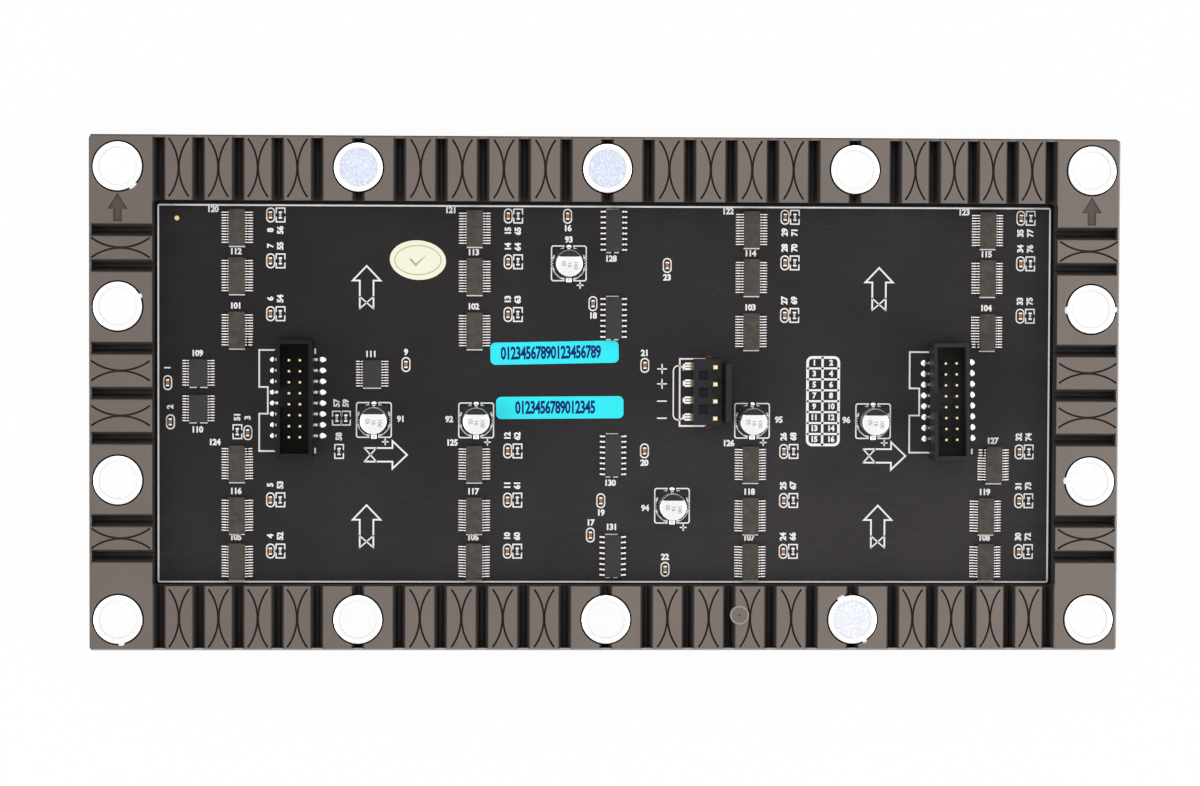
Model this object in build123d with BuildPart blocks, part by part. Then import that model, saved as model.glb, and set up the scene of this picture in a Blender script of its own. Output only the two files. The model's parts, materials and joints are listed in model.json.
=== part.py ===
"""Flexible LED display module, lying on its display face with its rear side up.

A soft rubber frame with bend grooves and magnets in pockets is bonded round the back of a thin
circuit board, which carries the driver chips and connectors. A soft louvred mask covers the front.
Lengths are in millimetres and angles in degrees. X runs along the module, +Z points to its rear.
"""
import os

from build123d import *

# Module outline and layers
module_length = 240.0
module_width = 120.0
edge_step = 0.4
mask_thickness = 2.0
board_thickness = 1.0
frame_height = 6.0

# Louvres of the front mask, one above each row of pixels
pixel_pitch = 4.0
louvre_width = 0.7
louvre_height = 0.4
louvre_offset = 1.65
louvre_end_gap = 0.8

# Rear frame
long_border = 14.9
end_border = 14.5
frame_corner = 0.9
window_corner = 0.8
frame_edge_bevel = 0.35

# Bend grooves of the frame, V-shaped with a slim floor, open to the window
groove_width = 2.65
groove_floor = 0.6
hinge_web = 1.4
lip_wall = 0.5
inner_group_pitch = 9.63
outer_group_pitch = 9.1
long_group_count = 5
end_group_y = 33.6
end_group_pitch = 8.25
end_group_count = 2
end_middle_pitch = 10.4
end_middle_count = 3

# Engraved arrows below the two upper corner magnets, and the moulding gate mark
arrow_gap = 0.15
arrow_length = 6.6
arrow_head_length = 3.7
arrow_head_width = 4.6
arrow_shaft_width = 2.0
arrow_depth = 0.4
gate_mark_diameter = 4.4
gate_mark_side_step = 2.4
gate_mark_inset = 6.7
gate_dimple_diameter = 1.2
gate_dimple_depth = 0.5

# Pot magnets, each a steel cup with its magnet bonded in, in round pockets of the frame
magnet_diameter = 11.4
magnet_height = 4.5
magnet_rim = 1.1
magnet_face_recess = 0.15
pocket_clearance = 0.3
magnet_proud = 0.3
middle_magnet_x = 57.6
corner_magnet_inset = 6.6
side_magnet_y = 20.1
magnet_row_inset = 7.2

# Chips, with a body that tapers both ways from its parting line. Here and below, columns, rows and
# places on the board are shares of the frame window's half length and half width, from its centre.
driver_width = 3.9
driver_length = 8.65
buffer_width = 4.4
buffer_length = 6.5
switch_width = 3.9
switch_length = 9.9
chip_height = 1.45
chip_standoff = 0.1
chip_taper = 8.0
driver_columns = (-0.818, -0.292, 0.324, 0.852)
driver_rows = (0.861, 0.610, 0.327, -0.370, -0.640, -0.881)
driver_colours = ("red", "green", "blue", "red", "green", "blue")
shifted_driver = "red_driver_8"
shifted_driver_step = 1.8
buffer_places = ((-0.903, 0.103), (-0.903, -0.082), (-0.519, 0.101))
switch_column = 0.017
switch_rows = (0.851, 0.396, -0.323, -0.851)

# Electrolytic capacitors
can_diameter = 6.3
can_top = 5.7
can_bevel = 0.5
can_base_side = 6.6
can_base_height = 0.9
can_base_bevel = 1.3
terminal_width = 0.7
terminal_length = 1.9
terminal_reach = 4.1
terminal_height = 0.25
can_places = (
    (-0.515, -0.141), (-0.288, -0.142), (0.327, -0.141), (0.598, -0.142), (-0.083, 0.680), (0.149, -0.588),
)

# Ceramic capacitors and resistors
small_part_length = 1.6
small_part_width = 0.8
ceramic_height = 0.8
resistor_height = 0.45
ceramic_offset = 7.8
resistor_offset = 10.1
small_part_rises = (2.9, 3.45, 3.8, 3.05, 3.6, 2.4)
bare_place = (0, 3)
loose_ceramics = (
    (-0.794, -0.209), (-0.965, -0.153), (-0.971, 0.051), (-0.444, 0.149), (-0.086, 0.926), (0.136, 0.671),
    (-0.029, 0.470), (0.087, 0.148), (0.087, -0.300), (-0.010, -0.562), (-0.033, -0.742), (0.134, -0.922),
)
loose_resistors = ((-0.817, -0.204), (-0.597, -0.132), (-0.577, -0.132), (-0.592, -0.306))

# Sixteen-pin box headers, data in and data out
header_length = 27.3
header_width = 8.2
header_height = 9.0
header_wall = 0.8
header_floor = 2.4
header_end_wall = 1.0
key_width = 4.5
pin_pitch = 2.54
pin_rows = 8
pin_side = 0.64
pin_height = 8.0
pin_bore_clearance = 0.03
tail_reach = 6.3
tail_thickness = 0.4
tail_channel_margin = 0.5
tail_channel_height = 0.6
input_header_place = (-0.687, -0.025)
output_header_place = (0.763, -0.032)
output_header_turn = 0.95

# Four-pin power header with a tall lock wall
power_header_place = (0.239, 0.011)
power_pitch = 3.96
power_pins_count = 4
power_pin_side = 1.14
power_pin_height = 8.6
power_pin_clearance = 0.03
power_base_front = 4.7
power_base_back = 1.9
power_base_end = 1.75
power_base_height = 3.6
power_recess_side = 2.1
power_recess_depth = 1.2
power_recess_x = -2.4
lock_wall_gap = 0.6
lock_wall_thickness = 1.2
lock_wall_height = 9.0
lock_wall_end = 0.85
lock_foot_height = 1.6
power_tail_reach = 7.1
power_tail_thickness = 0.6
power_slot_clearance = 0.1

# Stickers on the board
label_thickness = 0.1
upper_label_length = 30.0
lower_label_length = 29.8
long_label_width = 5.2
long_label_corner = 1.2
upper_label_row = 0.213
upper_label_turn = 1.2
upper_label_gap = 1.75
lower_label_row = -0.074
lower_label_turn = 0.5
lower_label_gap = 1.35
oval_label_length = 13.1
oval_label_width = 9.2
oval_label_place = (-0.418, 0.694)
oval_label_turn = -4.0

# Derived levels and outlines
overcut = 1.0
mask_face = louvre_height
board_front = mask_thickness
board_face = board_front + board_thickness
frame_face = board_face + frame_height
board_length = module_length - 2 * edge_step
board_width = module_width - 2 * edge_step
window_length = board_length - 2 * end_border
window_width = board_width - 2 * long_border
magnet_row_y = board_width / 2 - magnet_row_inset
corner_magnet_x = board_length / 2 - corner_magnet_inset
magnet_top = frame_face + magnet_proud
magnet_base = magnet_top - magnet_height
inner_group_x = middle_magnet_x / 2
outer_group_x = (middle_magnet_x + corner_magnet_x) / 2
pixel_rows = int(module_width // pixel_pitch)

os.makedirs("parts", exist_ok=True)


def save(block, name):
    """Label the finished piece and write its STEP file."""
    block.part.label = name
    export_step(block.part, f"parts/{name}.step")


def board_x(share):
    """Place along the board, from a share of the window's half length."""
    return share * window_length / 2


def board_y(share):
    """Place across the board, from a share of the window's half width."""
    return share * window_width / 2


def board_places(shares):
    """Places on the board of a list of shares."""
    return [(board_x(across), board_y(up)) for across, up in shares]


def magnet_places():
    """Centres of the fourteen magnets, five along each long side and two on each end."""
    columns = (-corner_magnet_x, -middle_magnet_x, 0, middle_magnet_x, corner_magnet_x)
    places = [(x, side * magnet_row_y) for x in columns for side in (1, -1)]
    ends = [(end * corner_magnet_x, side * side_magnet_y) for end in (1, -1) for side in (1, -1)]
    return places + ends


def spread(centre, pitch, count):
    """Evenly spaced positions about a centre."""
    return [centre + pitch * (step - (count - 1) / 2) for step in range(count)]


def long_side_grooves():
    """Positions along a long side of five grooves in each of four groups."""
    groups = (
        (-outer_group_x, outer_group_pitch), (-inner_group_x, inner_group_pitch),
        (inner_group_x, inner_group_pitch), (outer_group_x, outer_group_pitch),
    )
    return [x for centre, pitch in groups for x in spread(centre, pitch, long_group_count)]


def end_side_grooves():
    """Positions along an end of the grooves in two outer groups and a middle one."""
    outer = [y for side in (1, -1) for y in spread(side * end_group_y, end_group_pitch, end_group_count)]
    return outer + spread(0, end_middle_pitch, end_middle_count)


# Front mask
with BuildPart() as front_mask:
    with BuildSketch(Plane.XY.offset(mask_face)):
        Rectangle(module_length, module_width)
    extrude(amount=mask_thickness - louvre_height)
    with BuildSketch(Plane.XY.offset(mask_face)):
        with Locations((0, louvre_offset)):
            with GridLocations(0, pixel_pitch, 1, pixel_rows):
                Rectangle(module_length - 2 * louvre_end_gap, louvre_width)
    extrude(amount=-louvre_height)
save(front_mask, "front_mask")

# Circuit board
with BuildPart() as circuit_board:
    with BuildSketch(Plane.XY.offset(board_front)):
        Rectangle(board_length, board_width)
    extrude(amount=board_thickness)
save(circuit_board, "circuit_board")


def groove_section():
    """Corners of a bend groove's section, seen on a plane at the frame's face with its Y axis up."""
    depth = frame_height - hinge_web
    slope = (groove_width - groove_floor) / 2 / depth
    mouth = groove_width / 2 + slope * overcut
    return ((-mouth, overcut), (-groove_floor / 2, -depth), (groove_floor / 2, -depth), (mouth, overcut))


# Rear frame
groove_run_long = long_border - lip_wall + overcut
groove_run_end = end_border - lip_wall + overcut
arrow_tip_y = magnet_row_y - magnet_diameter / 2 - pocket_clearance - arrow_gap
gate_mark_x = inner_group_x + gate_mark_side_step
gate_mark_y = -window_width / 2 - gate_mark_inset
with BuildPart() as rear_frame:
    with BuildSketch(Plane.XY.offset(board_face)):
        RectangleRounded(board_length, board_width, frame_corner)
        RectangleRounded(window_length, window_width, window_corner, mode=Mode.SUBTRACT)
    extrude(amount=frame_height)
    top_edges = faces().sort_by(Axis.Z)[-1].outer_wire().edges()
    chamfer(top_edges, frame_edge_bevel)
    # Bend grooves along the long sides, also behind the middle magnets
    for side in (1, -1):
        start = (0, side * (window_width / 2 - overcut), frame_face)
        with BuildSketch(Plane(origin=start, x_dir=(-side, 0, 0), z_dir=(0, side, 0))):
            with Locations(*[(x, 0) for x in long_side_grooves() + spread(0, middle_magnet_x, 3)]):
                Polygon(*groove_section(), align=None)
        extrude(amount=groove_run_long, mode=Mode.SUBTRACT)
    # Bend grooves across the ends
    for side in (1, -1):
        start = (side * (window_length / 2 - overcut), 0, frame_face)
        with BuildSketch(Plane(origin=start, x_dir=(0, side, 0), z_dir=(side, 0, 0))):
            with Locations(*[(y, 0) for y in end_side_grooves()]):
                Polygon(*groove_section(), align=None)
        extrude(amount=groove_run_end, mode=Mode.SUBTRACT)
    # The gate mark bridges part of a groove
    with BuildSketch(Plane.XY.offset(board_face)):
        with Locations((gate_mark_x, gate_mark_y)):
            Circle(gate_mark_diameter / 2)
    extrude(amount=frame_height)
    with Locations((gate_mark_x, gate_mark_y, frame_face)):
        Hole(gate_dimple_diameter / 2, gate_dimple_depth)
    # Magnet pockets
    with BuildSketch(Plane.XY.offset(magnet_base)):
        with Locations(*magnet_places()):
            Circle(magnet_diameter / 2 + pocket_clearance)
    extrude(amount=magnet_height, mode=Mode.SUBTRACT)
    # Arrows that mark the module's upper edge
    with BuildSketch(Plane.XY.offset(frame_face - arrow_depth)):
        with Locations(*[(side * corner_magnet_x, arrow_tip_y) for side in (1, -1)]):
            Polygon(
                (0, 0), (-arrow_head_width / 2, -arrow_head_length),
                (-arrow_shaft_width / 2, -arrow_head_length), (-arrow_shaft_width / 2, -arrow_length),
                (arrow_shaft_width / 2, -arrow_length), (arrow_shaft_width / 2, -arrow_head_length),
                (arrow_head_width / 2, -arrow_head_length), align=None,
            )
    extrude(amount=arrow_depth + overcut, mode=Mode.SUBTRACT)
save(rear_frame, "rear_frame")

# Pot magnets, with the magnet's face just below the cup's rim
with BuildPart() as pot_magnets:
    with BuildSketch(Plane.XY.offset(magnet_base)):
        with Locations(*magnet_places()):
            Circle(magnet_diameter / 2)
    extrude(amount=magnet_height)
    with BuildSketch(Plane.XY.offset(magnet_top)):
        with Locations(*magnet_places()):
            Circle(magnet_diameter / 2 - magnet_rim)
    extrude(amount=-magnet_face_recess, mode=Mode.SUBTRACT)
save(pot_magnets, "pot_magnets")


def make_chip(name, x, y, width, length):
    """One chip body, widest at its parting line, with its long side along Y."""
    with BuildPart() as chip:
        with BuildSketch(Plane.XY.offset(board_face + chip_standoff + chip_height / 2)):
            with Locations((x, y)):
                Rectangle(width, length)
        extrude(amount=chip_height / 2, both=True, taper=chip_taper)
    save(chip, name)


# Driver chips, red, green and blue down each column
for column, column_share in enumerate(driver_columns):
    for row, row_share in enumerate(driver_rows):
        chip_name = f"{driver_colours[row]}_driver_{column + 1 + len(driver_columns) * (row // 3)}"
        chip_x = board_x(column_share) + (shifted_driver_step if chip_name == shifted_driver else 0)
        make_chip(chip_name, chip_x, board_y(row_share), driver_width, driver_length)

# Buffer chips
for number, (chip_x, chip_y) in enumerate(board_places(buffer_places), start=1):
    make_chip(f"buffer_chip_{number}", chip_x, chip_y, buffer_width, buffer_length)

# Row switch chips
for number, row_share in enumerate(switch_rows, start=1):
    make_chip(f"row_switch_{number}", board_x(switch_column), board_y(row_share), switch_width, switch_length)

# Electrolytic capacitor bases, with two bevelled corners on the lower side
with BuildPart() as capacitor_bases:
    half = can_base_side / 2
    with BuildSketch(Plane.XY.offset(board_face)):
        with Locations(*board_places(can_places)):
            Polygon(
                (-half, half), (-half, can_base_bevel - half), (can_base_bevel - half, -half),
                (half - can_base_bevel, -half), (half, can_base_bevel - half), (half, half), align=None,
            )
    extrude(amount=can_base_height)
    with BuildSketch(Plane.XY.offset(board_face)):
        with Locations(*board_places(can_places)):
            Rectangle(terminal_width, 2 * terminal_reach)
    extrude(amount=terminal_height, mode=Mode.SUBTRACT)
save(capacitor_bases, "capacitor_bases")

# Electrolytic capacitor terminals, flat strips under the base at its upper and lower edge
with BuildPart() as capacitor_terminals:
    with BuildSketch(Plane.XY.offset(board_face)):
        with Locations(*board_places(can_places)):
            with Locations((0, terminal_reach), (0, terminal_length - terminal_reach)):
                Rectangle(terminal_width, terminal_length, align=(Align.CENTER, Align.MAX))
    extrude(amount=terminal_height)
save(capacitor_terminals, "capacitor_terminals")

# One electrolytic can, with a bevel round its top
with BuildPart() as can:
    with BuildSketch(Plane.XZ):
        with BuildLine():
            Polyline(
                (0, can_base_height), (can_diameter / 2, can_base_height),
                (can_diameter / 2, can_top - can_bevel),
                (can_diameter / 2 - can_bevel, can_top), (0, can_top), close=True,
            )
        make_face()
    revolve(axis=Axis.Z)

# Electrolytic capacitor cans
with BuildPart() as capacitor_cans:
    with Locations(*[(x, y, board_face) for x, y in board_places(can_places)]):
        add(can.part)
save(capacitor_cans, "capacitor_cans")


def small_part_places(offset):
    """Places beside the driver chips, a little above each one's middle, with one place left bare."""
    return [
        (board_x(column_share) + offset, board_y(row_share) + small_part_rises[row])
        for column, column_share in enumerate(driver_columns)
        for row, row_share in enumerate(driver_rows) if (column, row) != bare_place
    ]


# Ceramic capacitors
with BuildPart() as ceramic_capacitors:
    with BuildSketch(Plane.XY.offset(board_face)):
        with Locations(*small_part_places(ceramic_offset), *board_places(loose_ceramics)):
            Rectangle(small_part_width, small_part_length)
    extrude(amount=ceramic_height)
save(ceramic_capacitors, "ceramic_capacitors")

# Chip resistors
with BuildPart() as chip_resistors:
    with BuildSketch(Plane.XY.offset(board_face)):
        with Locations(*small_part_places(resistor_offset), *board_places(loose_resistors)):
            Rectangle(small_part_width, small_part_length)
    extrude(amount=resistor_height)
save(chip_resistors, "chip_resistors")


def make_header_housing(name, plane):
    """Open-topped box header housing, with a key notch and a channel for the pin tails."""
    bore = pin_side + 2 * pin_bore_clearance
    channel = (pin_rows - 1) * pin_pitch + pin_side + 2 * tail_channel_margin
    with BuildPart() as housing:
        with BuildSketch(plane):
            Rectangle(header_width, header_length)
        extrude(amount=header_height)
        with BuildSketch(plane.offset(header_floor)):
            Rectangle(header_width - 2 * header_wall, header_length - 2 * header_end_wall)
        extrude(amount=header_height, mode=Mode.SUBTRACT)
        with BuildSketch(plane.offset(header_floor)):
            with Locations((-header_width / 2, 0)):
                Rectangle(3 * header_wall, key_width)
        extrude(amount=header_height, mode=Mode.SUBTRACT)
        with BuildSketch(plane):
            Rectangle(header_width + overcut, channel)
        extrude(amount=tail_channel_height, mode=Mode.SUBTRACT)
        with BuildSketch(plane):
            with GridLocations(pin_pitch, pin_pitch, 2, pin_rows):
                Rectangle(bore, bore)
        extrude(amount=header_floor, mode=Mode.SUBTRACT)
    save(housing, name)


def make_header_pins(name, plane):
    """Sixteen square pins, each bent outward to a flat tail on the board."""
    run = tail_reach - pin_pitch / 2
    with BuildPart() as pins:
        for side in (1, -1):
            for y in spread(0, pin_pitch, pin_rows):
                corner = plane * Location((side * pin_pitch / 2, y, 0))
                x_axis = plane.x_dir * side
                with BuildSketch(Plane(origin=corner.position, x_dir=x_axis, z_dir=plane.y_dir * -side)):
                    with BuildLine():
                        Polyline(
                            (-pin_side / 2, 0), (run, 0), (run, tail_thickness),
                            (pin_side / 2, tail_thickness), (pin_side / 2, pin_height),
                            (-pin_side / 2, pin_height), close=True,
                        )
                    make_face()
                extrude(amount=pin_side / 2, both=True)
    save(pins, name)


# Data headers
input_x, input_y = board_places([input_header_place])[0]
output_x, output_y = board_places([output_header_place])[0]
input_plane = Plane.XY.offset(board_face).move(Location((input_x, input_y, 0)))
output_plane = Plane.XY.offset(board_face).move(Location((output_x, output_y, 0), (0, 0, output_header_turn)))
make_header_housing("input_header_housing", input_plane)
make_header_pins("input_header_pins", input_plane)
make_header_housing("output_header_housing", output_plane)
make_header_pins("output_header_pins", output_plane)

# Power header housing
power_x, power_y = board_places([power_header_place])[0]
power_plane = Plane.XY.offset(board_face).move(Location((power_x, power_y, 0)))
power_run = (power_pins_count - 1) * power_pitch
power_base_length = power_run + 2 * power_base_end
lock_wall_x = power_base_back + lock_wall_gap
lock_wall_length = power_base_length - 2 * lock_wall_end
power_slot_run = power_base_front + overcut + power_pin_side
power_slot = power_pin_side + 2 * power_slot_clearance
power_bore = power_pin_side + 2 * power_pin_clearance
with BuildPart() as power_header_housing:
    with BuildSketch(power_plane):
        with Locations((-power_base_front, 0)):
            Rectangle(power_base_front + power_base_back, power_base_length, align=(Align.MIN, Align.CENTER))
    extrude(amount=power_base_height)
    with BuildSketch(power_plane):
        with Locations((power_base_back, 0)):
            Rectangle(lock_wall_gap, lock_wall_length, align=(Align.MIN, Align.CENTER))
    extrude(amount=lock_foot_height)
    with BuildSketch(power_plane):
        with Locations((lock_wall_x, 0)):
            Rectangle(lock_wall_thickness, lock_wall_length, align=(Align.MIN, Align.CENTER))
    extrude(amount=lock_wall_height)
    with BuildSketch(power_plane.offset(power_base_height)):
        with Locations((power_recess_x, 0)):
            with GridLocations(0, power_pitch, 1, power_pins_count - 1):
                Rectangle(power_recess_side, power_recess_side)
    extrude(amount=-power_recess_depth, mode=Mode.SUBTRACT)
    with BuildSketch(power_plane):
        with GridLocations(0, power_pitch, 1, power_pins_count):
            Rectangle(power_bore, power_bore)
    extrude(amount=power_base_height, mode=Mode.SUBTRACT)
    with BuildSketch(power_plane):
        with GridLocations(0, power_pitch, 1, power_pins_count):
            with Locations((power_pin_side / 2 + power_slot_clearance, 0)):
                Rectangle(power_slot_run, power_slot, align=(Align.MAX, Align.CENTER))
    extrude(amount=power_tail_thickness + power_slot_clearance, mode=Mode.SUBTRACT)
save(power_header_housing, "power_header_housing")

# Power header pins
with BuildPart() as power_header_pins:
    for pin_y in spread(power_y, power_pitch, power_pins_count):
        with BuildSketch(Plane(origin=(power_x, pin_y, board_face), x_dir=(-1, 0, 0), z_dir=(0, 1, 0))):
            with BuildLine():
                Polyline(
                    (-power_pin_side / 2, 0), (power_tail_reach, 0), (power_tail_reach, power_tail_thickness),
                    (power_pin_side / 2, power_tail_thickness), (power_pin_side / 2, power_pin_height),
                    (-power_pin_side / 2, power_pin_height), close=True,
                )
            make_face()
        extrude(amount=power_pin_side / 2, both=True)
save(power_header_pins, "power_header_pins")


def make_long_label(name, length, place, turn):
    """One long sticker with rounded corners, stuck on a little askew."""
    with BuildPart() as label:
        with BuildSketch(Plane.XY.offset(board_face)):
            with Locations(Location(place, turn)):
                RectangleRounded(length, long_label_width, long_label_corner)
        extrude(amount=label_thickness)
    save(label, name)


# Stickers
upper_label_x = board_x(driver_columns[1]) + driver_width / 2 + upper_label_gap + upper_label_length / 2
lower_label_x = board_x(can_places[1][0]) + can_base_side / 2 + lower_label_gap + lower_label_length / 2
upper_label_place = (upper_label_x, board_y(upper_label_row))
lower_label_place = (lower_label_x, board_y(lower_label_row))
make_long_label("upper_label", upper_label_length, upper_label_place, upper_label_turn)
make_long_label("lower_label", lower_label_length, lower_label_place, lower_label_turn)
with BuildPart() as inspection_label:
    with BuildSketch(Plane.XY.offset(board_face)):
        with Locations(Location(board_places([oval_label_place])[0], oval_label_turn)):
            Ellipse(oval_label_length / 2, oval_label_width / 2)
    extrude(amount=label_thickness)
save(inspection_label, "inspection_label")
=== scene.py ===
"""Looks of the flexible LED display module, modelled round its packed solids.

Everything is in metres, in the frame of the solids: X runs along the module, Z points out of its
rear side, and the module lies on its display face.
"""
import json
import math

import bmesh
import bpy
from bpy.props import FloatProperty, FloatVectorProperty, IntProperty, PointerProperty
from mathutils import Matrix, Vector

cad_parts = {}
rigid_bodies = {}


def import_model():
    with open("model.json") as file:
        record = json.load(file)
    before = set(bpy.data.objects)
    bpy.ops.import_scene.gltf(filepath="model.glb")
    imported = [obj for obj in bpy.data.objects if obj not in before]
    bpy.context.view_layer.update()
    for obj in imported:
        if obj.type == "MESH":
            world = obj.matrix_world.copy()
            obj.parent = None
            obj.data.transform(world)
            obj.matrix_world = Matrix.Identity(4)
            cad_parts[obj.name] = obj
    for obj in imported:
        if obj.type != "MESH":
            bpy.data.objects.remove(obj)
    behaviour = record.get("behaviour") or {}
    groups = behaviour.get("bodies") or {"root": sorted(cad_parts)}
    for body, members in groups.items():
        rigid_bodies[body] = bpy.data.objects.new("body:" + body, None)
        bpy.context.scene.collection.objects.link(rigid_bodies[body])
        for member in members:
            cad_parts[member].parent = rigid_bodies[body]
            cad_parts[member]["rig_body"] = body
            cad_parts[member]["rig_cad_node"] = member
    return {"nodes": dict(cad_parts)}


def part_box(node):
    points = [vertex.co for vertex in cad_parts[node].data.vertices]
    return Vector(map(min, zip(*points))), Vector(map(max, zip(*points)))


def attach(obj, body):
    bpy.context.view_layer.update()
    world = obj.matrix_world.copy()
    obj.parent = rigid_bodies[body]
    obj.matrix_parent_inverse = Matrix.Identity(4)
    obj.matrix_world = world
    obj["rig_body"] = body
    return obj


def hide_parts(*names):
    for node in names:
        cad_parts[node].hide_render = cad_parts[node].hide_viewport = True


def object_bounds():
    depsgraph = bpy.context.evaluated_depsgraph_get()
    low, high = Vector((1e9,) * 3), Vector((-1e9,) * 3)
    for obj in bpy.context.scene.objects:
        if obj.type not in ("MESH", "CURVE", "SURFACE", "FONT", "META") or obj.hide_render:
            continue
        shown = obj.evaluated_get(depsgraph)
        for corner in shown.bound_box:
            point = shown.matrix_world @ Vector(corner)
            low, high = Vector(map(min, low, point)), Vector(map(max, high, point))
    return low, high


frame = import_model()
cad_low, cad_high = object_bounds()

bl_info = {
    "name": "Flexible LED module",
    "version": (1, 0, 0),
    "blender": (4, 5, 0),
    "location": "View3D > Sidebar > LED module",
    "description": "Models the finish and small parts of a flexible LED display module",
    "category": "Object",
}

MM = 0.001
MERGE = 1e-7
TURN = math.tau
SIDES = (1, -1)
# Least share of a normal along an axis, for a face that points that way
FACING = 0.9
# Thickness of the print on stickers, cans and resistors
THIN_INK = 0.01 * MM

board_front, board_face = (corner.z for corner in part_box("circuit_board"))
frame_low, frame_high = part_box("rear_frame")
magnet_low, magnet_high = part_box("pot_magnets")

# What some settings mean, beyond their names
NOTES = {
    # The groove colour is painted shade, for rubber deep in the grooves and engravings
    "groove": "Rubber deep in the grooves, which gets little light and dust",
    "groove_fall": "How deep the rounding of a groove's edge reaches",
    "inner_pitch": "Groove pitch of a long side's inner groups",
    "outer_pitch": "Groove pitch of a long side's outer groups",
    "end_group": "Place of an end's outer groove pair",
    "end_pitch": "Groove pitch in an end's outer pairs",
    "end_middle_pitch": "Groove pitch in the middle of an end",
    "arc_inset": "Middle of a panel's arcs, from the frame's outer edge",
    "border_shift": "Middle of the border, above the board's own middle",
    "number_bold": "How much bolder than its font the print is",
}


def mm(*lengths):
    """Lengths in metres, from millimetres."""
    return tuple(length * MM for length in lengths)


def linear(hex_colour):
    """Linear colour of an sRGB hex value such as 8a8177."""
    parts = [int(hex_colour[at:at + 2], 16) / 255 for at in (0, 2, 4)]
    return tuple(p / 12.92 if p <= 0.04045 else ((p + 0.055) / 1.055) ** 2.4 for p in parts)


def settings(make, convert, values, **options):
    """Settings that a user can change, each named by its key."""
    made = {}
    for key, value in values.items():
        words = key.replace("_", " ").capitalize()
        made[key] = make(name=words, description=NOTES.get(key, words), default=convert(value), **options)
    return made


def sizes(**millimetres):
    """Lengths that a user can change, given in millimetres."""
    return settings(FloatProperty, lambda length: length * MM, millimetres, unit="LENGTH", precision=5)


def shades(**hex_colours):
    """Colours that a user can change."""
    return settings(FloatVectorProperty, linear, hex_colours, subtype="COLOR", size=3, min=0, max=1)


class StageSettings(bpy.types.PropertyGroup):
    """Camera, floor and lamps."""
    lens: FloatProperty(name="Lens", description="Focal length on a 36 mm sensor", default=100.2, unit="CAMERA")
    camera_turn: FloatVectorProperty(
        name="Camera turn", description="Camera rotation", subtype="EULER", unit="ROTATION",
        default=[math.radians(angle) for angle in (-1.974, -2.137, 0.216)])
    side_power: FloatProperty(name="Side lamps", description="Power of each side lamp", default=5.0, unit="POWER")
    top_power: FloatProperty(name="Top lamp", description="Power of the lamp above", default=2.6, unit="POWER")
    fill: FloatProperty(name="Fill", description="Light of the surroundings on dull surfaces", default=0.52)
    __annotations__.update(**sizes(camera_x=-30.55, camera_y=26.93, camera_z=783.44), **shades(floor="fbfbfb"))


class FrameSettings(bpy.types.PropertyGroup):
    """Rubber frame and its magnets."""
    __annotations__ = {
        # The groove colour is painted shade, for rubber deep in the grooves and engravings
        **shades(rubber="7b716b", groove="3b3734", zinc="e2e6ee", pale_zinc="fdfdff", nickel="fbfbfa"),
        **sizes(groove_radius=0.4, groove_fall=0.9, groove_width=2.6, window_length=210.2, window_width=89.4,
                inner_pitch=9.63, outer_pitch=9.1, end_group=33.6, end_pitch=8.25, end_middle_pitch=10.4,
                arc_chord=13.5, arc_spread=2.25, arc_line=0.44, arc_depth=0.65, arc_gap=0.15, arc_inset=7.45,
                end_arc_inset=7.25, dip_width=3.0, dip_depth=0.45, lip_wall=0.5, magnet_rim=1.1,
                magnet_recess=0.15)}


class BoardSettings(bpy.types.PropertyGroup):
    """Circuit board, its print and its stickers."""
    __annotations__ = {
        **shades(mask="292627", ink="fdfdfc", sticker="38f0fe", sticker_ink="12206a", oval="fdf9e2",
                 oval_ink="bdbb8c"),
        **sizes(ink_height=0.02, border_length=208.8, border_width=88.2, border_shift=-0.25, fine_line=0.3,
                bold_line=0.38, number_height=1.95, pin_number_height=1.8, number_bold=0.085)}


class PartSettings(bpy.types.PropertyGroup):
    """Chips, capacitors, resistors and connectors."""
    __annotations__ = {
        **settings(IntProperty, int, {"driver_leads": 12, "buffer_leads": 10, "switch_leads": 8}),
        **sizes(driver_pitch=0.635, switch_pitch=1.27, lead_width=0.245, wide_lead_width=0.42),
        **shades(epoxy="3d3b3b", marked_epoxy="4f4943", solder="fbf5f3", pin="f8f2e4", brass="a98d5f",
                 can="eeeef0", housing="262528")}


class FrontSettings(bpy.types.PropertyGroup):
    """Front mask and its lamps."""
    __annotations__ = {
        **sizes(pitch=4.0, window=2.7, lamp=2.1, lamp_height=1.0, louvre_offset=1.65, louvre_width=0.7,
                louvre_height=0.4, louvre_end_gap=0.8),
        **shades(silicone="1b1b1d")}


# Selecting and shaping, as by hand

def deselect():
    """Deselect every object."""
    bpy.ops.object.select_all(action="DESELECT")


def activate(*pieces):
    """Select these objects alone, with the first one active."""
    deselect()
    for piece in pieces:
        piece.select_set(True)
    bpy.context.view_layer.objects.active = pieces[0]


def edit(piece, kind="FACE"):
    """Open a piece in edit mode with all of it selected."""
    activate(piece)
    bpy.ops.object.mode_set(mode="EDIT")
    bpy.ops.mesh.select_mode(type=kind)
    pick_all()


def close_edit():
    """Back to object mode."""
    bpy.ops.object.mode_set(mode="OBJECT")


def pick_all():
    """Select all of the open piece."""
    bpy.ops.mesh.select_all(action="SELECT")


def pick(piece, kind, test):
    """Select the open piece's faces or edges that pass a test."""
    shape = bmesh.from_edit_mesh(piece.data)
    for item in getattr(shape, kind):
        item.select_set(test(item))
    shape.select_flush_mode()
    bmesh.update_edit_mesh(piece.data)


def pick_faces(piece, test):
    """Select the faces that pass a test of centre and normal."""
    pick(piece, "faces", lambda face: test(face.calc_center_median(), face.normal))


def pick_edges(piece, test):
    """Select the edges whose two ends pass a test."""
    bpy.ops.mesh.select_mode(type="EDGE")
    pick(piece, "edges", lambda edge: test(edge.verts[0].co, edge.verts[1].co))


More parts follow.
